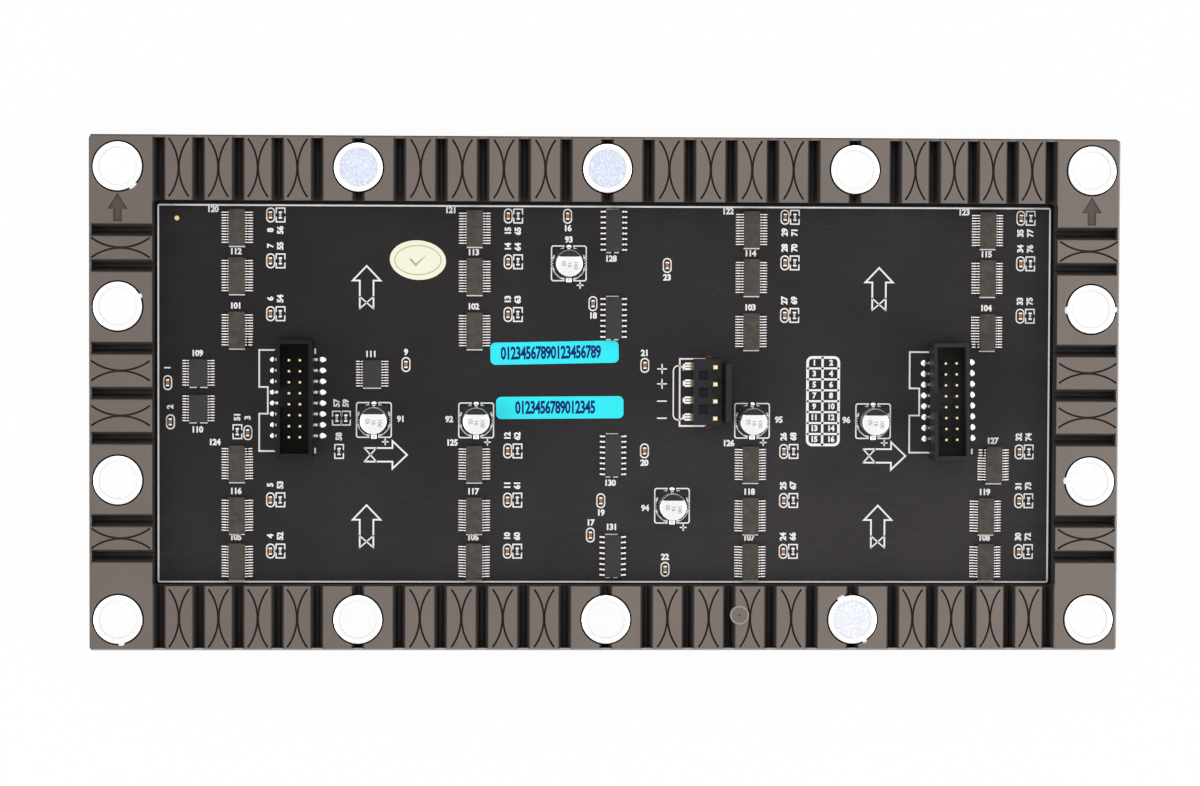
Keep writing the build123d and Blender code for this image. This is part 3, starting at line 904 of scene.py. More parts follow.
class LEDMODULE_OT_magnets(bpy.types.Operator):
    """Model the pot magnets, each a rolled steel cup round a magnet disc, and their glue"""
    bl_idname = "led_module.magnets"
    bl_label = "Pot magnets"

    def execute(self, context):
        look = context.scene.led_frame
        box = solids_of("pot_magnets")[0]
        radius = (box[1].x - box[0].x) / 2
        low, top = magnet_low.z, magnet_high.z
        inner = radius - look.magnet_rim
        face = top - look.magnet_recess
        gap_floor = face - 0.5 * MM
        disc_radius = inner - 0.3 * MM
        cup = turned("cup", [
            (0, low), (radius - 0.25 * MM, low), (radius, low + 0.25 * MM), (radius, top - 0.35 * MM),
            (radius - 0.1 * MM, top - 0.1 * MM), (radius - 0.35 * MM, top), (inner + 0.12 * MM, top),
            (inner, top - 0.1 * MM), (inner, gap_floor), (0, gap_floor)])
        magnet = turned("disc", [
            (0, gap_floor), (disc_radius, gap_floor), (disc_radius, face - 0.08 * MM),
            (disc_radius - 0.08 * MM, face), (0, face)])
        places = centres_of("pot_magnets")
        column = sorted({round(abs(x), 5) for x, y, turn in places})[1]
        row = max(y for x, y, turn in places)

        def near(x, y):
            return [place for place in places if abs(place[0] - x) < radius and abs(place[1] - y) < radius]

        # Some discs are bare zinc, one of them paler, and the rest are nickel as the cups are
        kinds = {"zinc": near(-column, row) + near(0, row), "pale_zinc": near(column, -row)}
        kinds = {"nickel": [place for place in places if place not in sum(kinds.values(), [])], **kinds}
        discs = join([copies(paint(copy_at(magnet, (0, 0, 0)), finish), chosen, "discs")
                      for finish, chosen in kinds.items()], "magnet_discs")
        bpy.data.objects.remove(magnet)
        cups = copies(paint(cup, "nickel"), places, "magnet_cups")
        dress(smooth(cups), "nickel_plate", "pot_magnets")
        dress(smooth(discs), "nickel_plate")
        self.glue(places, radius, column, row)
        return {"FINISHED"}

    @staticmethod
    def glue(places, radius, column, row):
        """Drops of adhesive that bridge the gap round some magnets, by magnet and clock angle in degrees."""
        corner = max(x for x, y, turn in places)
        side = min(abs(y) for x, y, turn in places)
        drops = (
            (-corner, row, -52, 1.3), (-corner, -row, -82, 0.9), (column, -row, 118, 1.2), (column, -row, -60, 0.7),
            (corner, side, 182, 1.1), (corner, side, 0, 0.8), (corner, -side, 178, 1.0), (-corner, side, 25, 0.7),
        )
        made = []
        reach = radius + 0.1 * MM
        for seed, (x, y, clock, share) in enumerate(drops):
            angle = math.radians(clock)
            place = (x + reach * math.cos(angle), y + reach * math.sin(angle), frame_high.z - 0.02 * MM)
            drop = ball("drop", 0.8 * MM, place, (0.5, share, 0.3), turn=angle)
            edit(drop)
            bpy.ops.transform.vertex_random(offset=0.05 * MM, seed=seed)
            close_edit()
            made.append(drop)
        dress(smooth(paint(join(made, "adhesive_drops"), "adhesive"), 60), "label_cream")


class LEDMODULE_OT_board(bpy.types.Operator):
    """Finish the circuit board"""
    bl_idname = "led_module.board"
    bl_label = "Circuit board"

    def execute(self, context):
        paint(frame["nodes"]["circuit_board"], "solder_mask")
        thickness = 0.03 * MM
        mark = rod("alignment_mark", 0.56 * MM, thickness, (*mm(-99.9, 40.6), board_face + thickness / 2), 32)
        dress(paint(bevel_all(mark, 0.01 * MM, 1), "gold"), "can_aluminium")
        return {"FINISHED"}


class LEDMODULE_OT_print(bpy.types.Operator):
    """Print the white outlines, arrows and plain numbers on the board"""
    bl_idname = "led_module.print"
    bl_label = "Board print"

    def execute(self, context):
        look = context.scene.led_board
        flat = [piece for draw in (self.border, self.arrows, self.part_outlines, self.chip_bars, self.can_outlines,
                                   self.header_outlines, self.table, self.signs) for piece in draw(look)]
        lines = raise_print(join(flat, "board_outlines"), look.ink_height)
        dress(paint(lines, "ink"), "label_cream")
        for name, entries, height in (("board_numbers", self.part_numbers(), look.number_height),
                                      ("pin_numbers", self.pin_numbers(), look.pin_number_height)):
            labels = numbers(name, entries, height, look.number_bold, board_face, look.ink_height)
            dress(paint(labels, "ink"), "label_cream")
        return {"FINISHED"}

    @staticmethod
    def border(look):
        """Line round the board, just inside the frame."""
        half_x, half_y, shift = look.border_length / 2, look.border_width / 2, look.border_shift
        corners = rectangle(-half_x, shift - half_y, half_x, shift + half_y)
        return [outline("border", corners, 0.38 * MM, corner=0.5 * MM)]

    @staticmethod
    def arrows(look):
        """Four arrows up and two along, each with a crossed tail."""
        head, head_length, shaft, length, cross = mm(3.67, 3.87, 1.78, 10.4, 7.45)
        points = [(0, 0), (-head, -head_length), (-shaft, -head_length), (-shaft, -length),
                  (shaft, -length), (shaft, -head_length), (head, -head_length)]
        arrow = outline("arrow", points, look.bold_line, open_sides=[3])
        inset = look.bold_line / 2
        crossed = [stroke("tail", (side * (shaft - inset), -length + inset), (-side * (shaft - inset), -cross),
                          look.fine_line) for side in SIDES]
        places = [(-55.85, 29.9, 0), (64.05, 29.9, 0), (-55.8, -25.95, 0), (64.1, -25.9, 0),
                  (-46.1, -14.45, -TURN / 4), (70.8, -14.5, -TURN / 4)]
        return [copies(join([arrow, *crossed], "arrow"), [(*mm(x, y), turn) for x, y, turn in places], "arrows")]

    @staticmethod
    def part_outlines(look):
        """Outlines round the chip capacitors and resistors."""
        oval = outline("oval", rectangle(*mm(-1.05, -1.75, 1.05, 1.75)), look.fine_line, corner=1.02 * MM,
                       corner_steps=6)
        ovals = copies(oval, centres_of("ceramic_capacitors"), "ovals")
        halves = [outline("half", rectangle(*mm(-1.15, low, 1.15, high)), look.fine_line, open_sides=[side])
                  for low, high, side in ((0.22, 1.75, 0), (-1.75, -0.22, 2))]
        return [ovals, copies(join(halves, "brackets"), centres_of("chip_resistors"), "brackets")]

    @staticmethod
    def chip_bars(look):
        """A bar below each chip, parted on some, and one above each row switch."""
        bars = []
        for name in chip_names():
            low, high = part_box(name)
            left, right, below = low.x + 0.25 * MM, high.x - 0.25 * MM, low.y - 0.14 * MM
            if name.startswith("row_switch"):
                left, right, above = left + 0.12 * MM, right - 0.68 * MM, high.y + 0.06 * MM
                bars.append(stroke("bar", (left, above), (right, above), 0.28 * MM))
            runs, centre, gap = [(left, right)], (left + right) / 2, 0.5 * MM
            if "_driver_" not in name and name != "buffer_chip_3":
                runs = [(left, centre - gap), (centre + gap, right)]
            bars += [stroke("bar", (start, below), (end, below), look.fine_line) for start, end in runs]
        return [join(bars, "bars")]

    @staticmethod
    def can_outlines(look):
        """Parted square, ring, ticks and wedges round each electrolytic capacitor."""
        half, gap = 4.2 * MM, 1.0 * MM
        square = outline("square", rectangle(-half, -half, half, half), look.fine_line, corner=0.6 * MM)
        edit(square)
        for place in (-gap, gap):
            pick_all()
            bpy.ops.mesh.bisect(plane_co=(place, 0, 0), plane_no=(1, 0, 0))
        pick_faces(square, lambda centre, normal: abs(centre.x) < gap)
        clear_faces()
        close_edit()
        ring = disc("ring", 72, 4.05 * MM, (0, 0, board_face))
        hollow(ring, 0.42 * MM)
        pick_faces(ring, lambda centre, normal: centre.y > 1.9 * MM or (abs(centre.x) < gap and centre.y < 0)
                   or abs(centre.y) < 1.0 * MM)
        clear_faces()
        close_edit()
        ticks = [stroke("tick", mm(side * 3.72, y), mm(side * 4.0, y), 0.22 * MM)
                 for side in SIDES for y in (-0.65, 0.0, 0.65)]
        wedges = [polygon("wedge", [mm(*point) for point in points], board_face) for points in (
            ((-2.1, 3.4), (-1.15, 3.4), (-1.15, 3.85)), ((1.05, 3.4), (2.0, 3.4), (1.05, 3.85)))]
        master = join([square, ring, *ticks, *wedges], "can_outline")
        return [copies(master, centres_of("capacitor_cans"), "can_outlines")]

    @staticmethod
    def header_outlines(look):
        """Notched brackets beside the data headers, and the frame beside the power header."""
        made = []
        for left, notch, right, top, notch_top, notch_low, low in (
                (-81.0, -79.0, -77.0, 10.15, 1.15, -4.7, -13.8), (71.2, 73.5, 76.4, 10.1, 1.2, -4.8, -13.9)):
            points = [(right, top), (left, top), (left, notch_top), (notch, notch_top), (notch, notch_low),
                      (left, notch_low), (left, low), (right, low)]
            made.append(outline("bracket", [mm(*point) for point in points], look.bold_line, open_sides=[7]))
        for x, y in ((-67.8, 9.7), (-67.8, -13.5), (86.2, -13.4)):
            made.append(stroke("tick", mm(x, y - 0.45), mm(x, y + 0.45), look.bold_line))
        made.append(outline("power", rectangle(*mm(17.15, -7.75, 24.7, 8.35)), look.bold_line, open_sides=[1]))
        made.append(outline("brace", rectangle(*mm(15.7, -6.3, 18.4, 6.7)), look.fine_line, open_sides=[1],
                            corner=1.3 * MM, corner_steps=5))
        return made

    @staticmethod
    def table(look):
        """Table of the header's sixteen pins."""
        low_x, high_x, low_y, high_y, line, inset = mm(47.05, 55.0, -12.25, 8.9, 0.62, 0.4)
        made = [outline("table", rectangle(low_x, low_y, high_x, high_y), line, corner=1.4 * MM, corner_steps=5)]
        centre = (low_x + high_x) / 2 - 0.15 * MM
        made.append(stroke("column", (centre, low_y + inset), (centre, high_y - inset), 0.55 * MM))
        row = (high_y - low_y - line) / 8
        for number in range(1, 8):
            y = high_y - line / 2 - number * row
            made.append(stroke("row", (low_x + inset, y), (high_x - inset, y), 0.48 * MM))
        return made

    @staticmethod
    def signs(look):
        """Plus by each electrolytic capacitor, and plus and minus by the power pins."""
        plus = [(x + 2.65 * MM, y - 5.1 * MM, 0.65 * MM) for x, y, turn in centres_of("capacitor_cans")]
        plus += [mm(13.2, 5.8, 1.0), mm(13.2, 2.3, 1.0)]
        minus = [mm(13.2, -1.75, 1.0), mm(13.2, -5.75, 1.0)]
        made = [stroke("sign", (x - reach, y), (x + reach, y), look.fine_line) for x, y, reach in plus + minus]
        return made + [stroke("sign", (x, y - reach), (x, y + reach), look.fine_line) for x, y, reach in plus]

    @staticmethod
    def part_numbers():
        """Plain part numbers beside the parts: text, place and turn."""
        entries = []
        for number, name in enumerate(chip_names(), start=101):
            low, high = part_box(name)
            shift, edge, rise = -0.3, high.y, 1.25
            if name == "row_switch_2":
                continue
            if name in ("row_switch_1", "row_switch_3"):
                shift, edge, rise = -0.7, low.y, -1.6
            elif name == "row_switch_4":
                rise = 1.75
            elif name == "buffer_chip_2":
                edge, rise = low.y, -1.75
            elif high.y > 42 * MM:
                shift, rise = -5.6, -0.15
            elif name.startswith("red_driver") and name != "red_driver_8":
                shift, rise = -5.2, 0.6
            entries.append((str(number), middle((low, high)).x + shift * MM, edge + rise * MM, 0))
        resistors = centres_of("chip_resistors")
        for start, places in ((1, centres_of("ceramic_capacitors")), (51, resistors)):
            for number, (x, y, turn) in enumerate(places, start=start):
                paired = start == 51 or any(abs(x - other) < 3 * MM and abs(y - row) < 1 * MM
                                            for other, row, turn in resistors)
                rise, turn = (3.5, TURN / 4) if paired or x < -90 * MM else (2.85, 0)
                below = y > 40 * MM or number in (18, 19, 20, 23)
                entries.append((str(number), x, y + (-rise if below else rise) * MM, turn))
        shifts = ((6.3, 0.2), (-6.3, 0.2), (0.0, 5.5), (-6.3, -0.6), (6.3, 0.2), (-6.3, 0.2))
        for number, (place, shift) in enumerate(zip(centres_of("capacitor_cans"), shifts), start=91):
            entries.append((str(number), place[0] + shift[0] * MM, place[1] + shift[1] * MM, 0))
        return entries

    @staticmethod
    def pin_numbers():
        """Numbers of the header's sixteen pins, in the table's cells."""
        row = 20.53 / 8
        return [(str(number + 1), *mm(48.95 + 3.95 * (number % 2), 8.59 - row * (number // 2 + 0.5)), 0)
                for number in range(16)]


class LEDMODULE_OT_chips(bpy.types.Operator):
    """Model the chip bodies with their moulded taper and pin-one dimple, and their bent leads"""
    bl_idname = "led_module.chips"
    bl_label = "Chips"

    def execute(self, context):
        look = context.scene.led_parts
        for part, leads_name, finish, pitch, count, lead_width, reach in (
                ("_driver_", "driver_leads", "marked_epoxy", look.driver_pitch, look.driver_leads,
                 look.lead_width, 3.7),
                ("buffer_chip", "buffer_leads", "epoxy", look.driver_pitch, look.buffer_leads, look.lead_width, 3.85),
                ("row_switch", "switch_leads", "epoxy", look.switch_pitch, look.switch_leads,
                 look.wide_lead_width, 3.15)):
            names = [name for name in chip_names() if part in name]
            low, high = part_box(names[0])
            body = self.body(high - low, low.z)
            centres = [middle(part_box(name)) for name in names]
            for name, centre in zip(names, centres):
                activate(copy_at(body, (centre.x, centre.y, 0)))
                dress(smooth(paint(settle(name + "_body"), finish), 30), "epoxy_black", name)
            bpy.data.objects.remove(body)
            row = self.lead_row(high - low, pitch, count, lead_width, reach * MM)
            leads = copies(row, [(centre.x, centre.y, 0) for centre in centres], leads_name)
            dress(paint(leads, "solder"), "tinned_metal")
        return {"FINISHED"}

    @staticmethod
    def body(extent, low):
        """One chip body about the Z axis, drawn in above and below its parting line."""
        draw = extent.z / 2 * math.tan(math.radians(8))
        parting = low + extent.z / 2
        deselect()
        bpy.ops.mesh.primitive_plane_add(size=1, location=(0, 0, parting))
        body = settle("body", (extent.x, extent.y, 1))
        for side in SIDES:
            edit(body)
            if side == -1:
                pick_faces(body, lambda centre, normal: abs(centre.z - parting) < MERGE)
            pull(0, 0, side * extent.z / 2)
            resize(1 - 2 * draw / extent.x, 1 - 2 * draw / extent.y)
            close_edit()
        outward(body)
        for vertex in body.data.vertices:
            if abs(vertex.co.z - parting) > MERGE:
                vertex.co.z = parting + math.copysign(extent.z / 2, vertex.co.z - parting)
        bevel_all(body, 0.07 * MM, 2, 20)
        inset = 0.8 * MM
        place = (-extent.x / 2 + inset, extent.y / 2 - inset, low + extent.z)
        return cut(body, rod("dimple", 0.35 * MM, 0.2 * MM, place, 20))

    @staticmethod
    def lead_row(extent, pitch, count, width, reach):
        """The gull-wing leads of one chip, with their soldered pads, out to a reach from its centre."""
        shoulder, thickness = board_face + 0.78 * MM, 0.16 * MM
        start, drop, foot = extent.x / 2 - 0.12 * MM, 0.3 * MM, 0.12 * MM
        bend = start + 0.5 * MM
        lead = block("lead", (start, -width / 2, shoulder), (bend, width / 2, shoulder + thickness))
        edit(lead)
        pick_faces(lead, lambda centre, normal: normal.x > FACING)
        for run, fall, narrowing in ((0.35 * drop, -0.1, 0.45), (0.65 * drop, -0.58, 1.0), (foot, -0.03, 2.2),
                                     (reach - bend - drop - 3 * foot, 0.0, 1.0)):
            pull(run, 0, fall * MM)
            resize(1, narrowing)
        close_edit()
        low = Vector((bend + drop + foot, -width * 0.55, board_face))
        high = Vector((reach, width * 0.55, board_face + 0.12 * MM))
        pad = block("pad", low, high)
        edit(pad)
        pick_faces(pad, lambda centre, normal: normal.z > FACING)
        resize(0.7, 0.7, (middle((low, high)).x, 0, high.z))
        close_edit()
        places = [(0, y, turn) for y in spread(0, pitch, count) for turn in (0, TURN / 2)]
        return copies(join([lead, pad], "lead"), places, "lead_row")


class LEDMODULE_OT_small_parts(bpy.types.Operator):
    """Model the ceramic capacitors and chip resistors with their plated, soldered ends"""
    bl_idname = "led_module.small_parts"
    bl_label = "Small parts"

    def execute(self, context):
        for node, finish, slot in (("ceramic_capacitors", "ceramic", "ceramic_brown"),
                                   ("chip_resistors", "glaze", "ceramic_black")):
            low, high = solids_of(node)[0]
            piece = copies(self.chip(high - low, finish), centres_of(node), node + "_finished")
            dress(smooth(piece, 30), slot, node)
        entries = [("100", x, y, TURN / 4) for x, y, turn in centres_of("chip_resistors")]
        marks = numbers("resistor_numbers", entries, 0.7 * MM, 0.02 * MM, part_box("chip_resistors")[1].z)
        dress(paint(marks, "ink"), "label_cream")
        return {"FINISHED"}

    @staticmethod
    def chip(extent, finish):
        """One two-ended chip part about the Z axis."""
        half_x, half_y, top = extent.x / 2, extent.y / 2, board_face + extent.z
        band, inset = 0.3 * MM, 0.02 * MM
        body = block("body", (-half_x + inset, -half_y + band, board_face + inset),
                     (half_x - inset, half_y - band, top - inset))
        pieces = [paint(bevel_all(body, 0.03 * MM, 1), finish)]
        for side in SIDES:
            ends = sorted((side * half_y, side * (half_y - band)))
            cap = block("cap", (-half_x, ends[0], board_face), (half_x, ends[1], top))
            ends = sorted((side * half_y, side * (half_y + 0.2 * MM)))
            fillet = block("fillet", (-half_x * 0.8, ends[0], board_face),
                           (half_x * 0.8, ends[1], board_face + extent.z * 0.6))
            edit(fillet)
            pick_edges(fillet, lambda a, b: min(side * a.y, side * b.y) > half_y + 0.15 * MM
                       and min(a.z, b.z) > board_face + 0.1 * MM)
            bpy.ops.transform.translate(value=(0, 0, -extent.z * 0.52))
            close_edit()
            pieces.append(paint(bevel_all(cap, 0.06 * MM, 2), "solder"))
            pieces.append(paint(bevel_all(fillet, 0.03 * MM, 1), "solder"))
        return join(pieces, "chip_part")


class LEDMODULE_OT_electrolytics(bpy.types.Operator):
    """Model the electrolytic capacitors with crimped cans, printed sectors and soldered terminals"""
    bl_idname = "led_module.electrolytics"
    bl_label = "Electrolytic capacitors"

    def execute(self, context):
        low, high = solids_of("capacitor_cans")[0]
        radius = (high.x - low.x) / 2
        neck = radius - 0.22 * MM
        places = centres_of("capacitor_cans")
        chord = radius - 0.255 * 2 * radius
        can = turned("can", [
            (0, low.z), (radius, low.z), (radius, low.z + 0.35 * MM), (neck, low.z + 0.6 * MM),
            (neck, low.z + 0.8 * MM), (radius, low.z + 1.05 * MM), (radius, high.z - 0.22 * MM),
            (radius - 0.04 * MM, high.z - 0.1 * MM), (radius - 0.12 * MM, high.z - 0.03 * MM),
            (neck, high.z), (0, high.z)])
        edit(can)
        bpy.ops.mesh.bisect(plane_co=(0, chord, 0), plane_no=(0, 1, 0))
        close_edit()
        paint(can, "can", "can_print")
        paint_faces(can, 1, lambda centre, normal: centre.y > chord and normal.z > FACING)
        dress(smooth(copies(can, places, "capacitor_cans_finished"), 50), "can_aluminium", "capacitor_cans")
        bases = bevel_all(merged_copy("capacitor_bases", "capacitor_bases_finished"), 0.12 * MM)
        dress(smooth(paint(bases, "nylon")), "base_black", "capacitor_bases")
        paint(frame["nodes"]["capacitor_terminals"], "solder")
        self.solder(places)
        entries = [(text, x + shift * MM, y - fall * MM, -TURN / 4) for x, y, turn in places
                   for text, shift, fall in (("100", 1.45, 0.5), ("16", 0.05, 0.3), ("05", -1.35, 0.1))]
        marks = numbers("can_numbers", entries, 1.4 * MM, 0.0, high.z)
        dress(paint(marks, "grey_ink"), "base_black")
        return {"FINISHED"}

    @staticmethod
    def solder(places):
        """Solder on the two terminals of each capacitor."""
        blob = keep_above_board(ball("blob", 1 * MM, (0, 3.95 * MM, board_face), (0.72, 0.52, 0.42)))
        top = board_face + 0.4 * MM
        pad = block("pad", (*mm(-0.68, -4.45), board_face), (*mm(0.68, -3.2), top))
        cut(bevel_all(pad, 0.15 * MM, 3), rod("hole", 0.13 * MM, 0.3 * MM, (0, -3.85 * MM, top), 16))
        joint = copies(join([blob, pad], "joint"), places, "capacitor_solder")
        dress(smooth(paint(outward(joint), "fresh_solder"), 60), "tinned_metal")


class LEDMODULE_OT_headers(bpy.types.Operator):
    """Model the box headers and the power header, with pointed pins and solder joints"""
    bl_idname = "led_module.headers"
    bl_label = "Connectors"

    # How far from a header's centre its bent tails end, at least
    tail_reach = 5 * MM

    def execute(self, context):
        # Left and right joints: inset from the tail's own end, half length, half width. Last, the tails' tilt
        for which, finish, joints, tilt in (
                ("input", "dark_nylon", ((-1, 0.85, 0.74, 0.7), (1, 0.32, 1.15, 0.76)), 0),
                ("output", "nylon", ((-1, 1.04, 0.92, 0.84), (1, 0.42, 0.86, 0.86)), 0.95)):
            housing_node, pins_node = which + "_header_housing", which + "_header_pins"
            housing = bevel_all(merged_copy(housing_node, housing_node + "_finished"), 0.1 * MM)
            paint(housing, finish, "nylon")
            # Painted light: the floor deep in each housing's pocket is painted in the lighter nylon, making up for the
            # shade of the pocket's walls
            paint_faces(housing, 1, lambda centre, normal: normal.z > FACING and centre.z < frame_high.z - 4 * MM)
            dress(smooth(housing), "housing_black", housing_node)
            pins = merged_copy(pins_node, pins_node + "_finished")
            centre = middle(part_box(pins_node)).x
            for side, inset, length, width in joints:
                edit(pins)
                pick_faces(pins, lambda place, normal: side * normal.x > FACING
                           and side * (place.x - centre) > self.tail_reach)
                bpy.ops.transform.translate(value=(-side * (inset - 0.12) * MM, 0, 0))
                close_edit()
            dress(self.pointed(pins, 0.14 * MM), "tinned_metal", pins_node)
            domes = [self.domes(pins_node, centre, joint, math.radians(tilt)) for joint in joints]
            dress(smooth(paint(join(domes, which + "_header_solder"), "fresh_solder"), 60), "tinned_metal")
        self.power()
        return {"FINISHED"}

    @staticmethod
    def pointed(pins, bevel):
        """Point the tops of square pins and break their other edges."""
        top = max(vertex.co.z for vertex in pins.data.vertices)
        edit(pins)
        pick_edges(pins, lambda a, b: min(a.z, b.z) > top - MERGE * 10)
        bpy.ops.mesh.bevel(offset=bevel, segments=2)
        close_edit()
        paint(pins, "pin", "brass")
        paint_faces(pins, 1, lambda centre, normal: centre.z > top - 1.5 * bevel and 0.2 < normal.z < 0.95)
        return bevel_all(pins, 0.04 * MM, 1, 60)

    def domes(self, pins_node, centre, joint, tilt):
        """Domes of solder over the tail ends on one side."""
        side, inset, length, width = joint
        dome = outward(keep_above_board(ball("dome", 1 * MM, (0, 0, board_face), (length, width, 1), 24, 16)))
        # Solder flows into a broad low dome
        for vertex in dome.data.vertices:
            share = min(1, max(0, (vertex.co.z - board_face) / MM))
            vertex.co.z = board_face + 0.64 * MM * math.sin(share * TURN / 4)
        places = []
        for low, high in solids_of(pins_node):
            end = high.x if side == 1 else low.x
            if side * (end - centre) > self.tail_reach:
                end_y = (low.y + high.y) / 2 + side * math.sin(tilt) * (high.x - low.x) / 2
                places.append((end - side * inset * MM, end_y, 0))
        return copies(dome, places, "domes")

    def power(self):
        """The power header: housing, square pins and slotted flat leads."""
        housing = bevel_all(merged_copy("power_header_housing", "power_header_housing_finished"), 0.14 * MM)
        dress(smooth(paint(housing, "nylon")), "housing_black", "power_header_housing")
        pins = self.pointed(merged_copy("power_header_pins", "power_header_pins_finished"), 0.2 * MM)
        dress(pins, "tinned_metal", "power_header_pins")
        boxes = solids_of("power_header_pins")
        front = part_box("power_header_housing")[0].x
        tip, top = boxes[0][0].x, board_face + 0.72 * MM
        bars, tips = [], []
        for low, high in boxes:
            y = (low.y + high.y) / 2
            plate = block("plate", (tip + 0.5 * MM, y - 0.8 * MM, board_face), (front, y + 0.8 * MM, top - 0.05 * MM))
            bars.append(paint(bevel_all(plate, 0.05 * MM, 1), "brass"))
            for at, half in ((-0.66, 0.2), (0.0, 0.16), (0.66, 0.2)):
                bar = block("bar", (tip + 0.45 * MM, y + (at - half) * MM, board_face),
                            (front + 0.02 * MM, y + (at + half) * MM, top))
                bars.append(paint(bevel_all(bar, 0.06 * MM, 2), "solder"))
            blob = keep_above_board(ball("blob", 0.45 * MM, (tip + 0.42 * MM, y, board_face), (1, 1, 1.2)))
            tips.append(paint(outward(blob), "fresh_solder"))
        dress(smooth(join(bars, "power_leads")), "tinned_metal")
        dress(smooth(join(tips, "power_solder"), 60), "tinned_metal")
        dabs = [ball("dab", 1 * MM, (24.0 * MM, y * MM, board_face + 0.04 * MM), (0.85, 0.4, 0.04), 16, 8)
                for y in (8.55, -7.75)]
        dress(smooth(paint(join(dabs, "lacquer_dabs"), "red_dab"), 60), "housing_black")


class LEDMODULE_OT_stickers(bpy.types.Operator):
    """Finish the stickers and print plain numbers and lines on them"""
    bl_idname = "led_module.stickers"
    bl_label = "Stickers"

    def execute(self, context):
        entries = []
        for node, digits, turn, shift in (("upper_label", "01234567890123456789", 1.2, -0.85),
                                          ("lower_label", "0123456789012345", 0.5, -1.05)):
            paint(frame["nodes"][node], "sticker")
            centre = middle(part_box(node))
            entries.append((digits, centre.x + shift * MM, centre.y - 0.1 * MM, math.radians(turn)))
        marks = numbers("sticker_numbers", entries, 4.1 * MM, 0.13 * MM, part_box("upper_label")[1].z, condense=0.62)
        dress(paint(marks, "sticker_ink"), "label_cyan")
        paint(frame["nodes"]["inspection_label"], "oval")
        low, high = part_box("inspection_label")
        centre = middle((low, high))
        ring = disc("ring", 64, 1 * MM, (centre.x, centre.y, high.z), (5.5, 3.5, 1))
        hollow(ring, 0.22 * MM)
        close_edit()
        points = ((-2.0, 0.1), (-0.5, -1.5), (2.4, 1.6), (-0.5, -0.8), (-1.6, 0.5))
        tick = polygon("tick", [(centre.x + x * MM, centre.y + y * MM) for x, y in points], high.z)
        printed = join([raise_print(piece, THIN_INK) for piece in (ring, tick)], "oval_print")
        dress(paint(printed, "oval_ink"), "label_cream")
        return {"FINISHED"}


class LEDMODULE_OT_front(bpy.types.Operator):
    """Model the louvred front mask with a window for each lamp, and the lamps in it"""
    bl_idname = "led_module.front"
    bl_label = "Front mask and lamps"

    def execute(self, context):
        look = context.scene.led_front
        low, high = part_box("front_mask")
        columns = round((high.x - low.x) / look.pitch)
        rows = round((high.y - low.y) / look.pitch)
        dress(paint(self.mask(look, low, high, columns, rows), "silicone"), "silicone_black", "front_mask")
        dress(self.lamps(look, columns, rows), "ceramic_black")
        return {"FINISHED"}

    @staticmethod
    def mask(look, low, high, columns, rows):
        """A sheet with square windows, walled to its full thickness, and a louvre above each row."""
        face = low.z + look.louvre_height
        deselect()
        bpy.ops.mesh.primitive_grid_add(x_subdivisions=columns, y_subdivisions=rows, size=1, location=(0, 0, high.z))
        sheet = settle("sheet", (high.x - low.x, high.y - low.y, 1))
        edit(sheet)
        bpy.ops.mesh.inset(thickness=(look.pitch - look.window) / 2, use_individual=True)
        clear_faces()
        close_edit()
        outward(modify(sheet, "SOLIDIFY", thickness=high.z - face, offset=-1))
        half, end = look.louvre_width / 2, high.x - look.louvre_end_gap
        bar = block("louvre", (-end, -half, low.z), (end, half, face + 0.05 * MM))
        edit(bar)
        pick_faces(bar, lambda centre, normal: normal.z < -FACING)
        resize(1, 0.6)
        close_edit()
        louvres = copies(bar, [(0, y + look.louvre_offset, 0) for y in spread(0, look.pitch, rows)], "louvres")
        return join([sheet, louvres], "front_mask_finished")

    @staticmethod
    def lamps(look, columns, rows):
        """Square packages with a recessed resin window, one in each opening of the mask."""
        half, bottom = look.lamp / 2, board_front - look.lamp_height
        lamp = block("lamp", (-half, -half, bottom), (half, half, board_front))
        edit(lamp)
        pick_faces(lamp, lambda centre, normal: normal.z < -FACING)
        bpy.ops.mesh.inset(thickness=0.22 * MM)
        pull(0, 0, 0.18 * MM)
        resize(0.85, 0.85)
        close_edit()
        paint(lamp, "lamp_case", "lamp_resin")
        paint_faces(lamp, 1, lambda centre, normal: normal.z < -FACING and abs(centre.x) < MERGE
                    and centre.z > bottom + 0.1 * MM)
        lamp = copies(lamp, [(-look.pitch * (columns - 1) / 2, -look.pitch * (rows - 1) / 2, 0)], "lamps")
        for count, step in ((columns, (look.pitch, 0, 0)), (rows, (0, look.pitch, 0))):
            modify(lamp, "ARRAY", count=count, use_relative_offset=False, use_constant_offset=True,
                   constant_offset_displace=step)
        return lamp


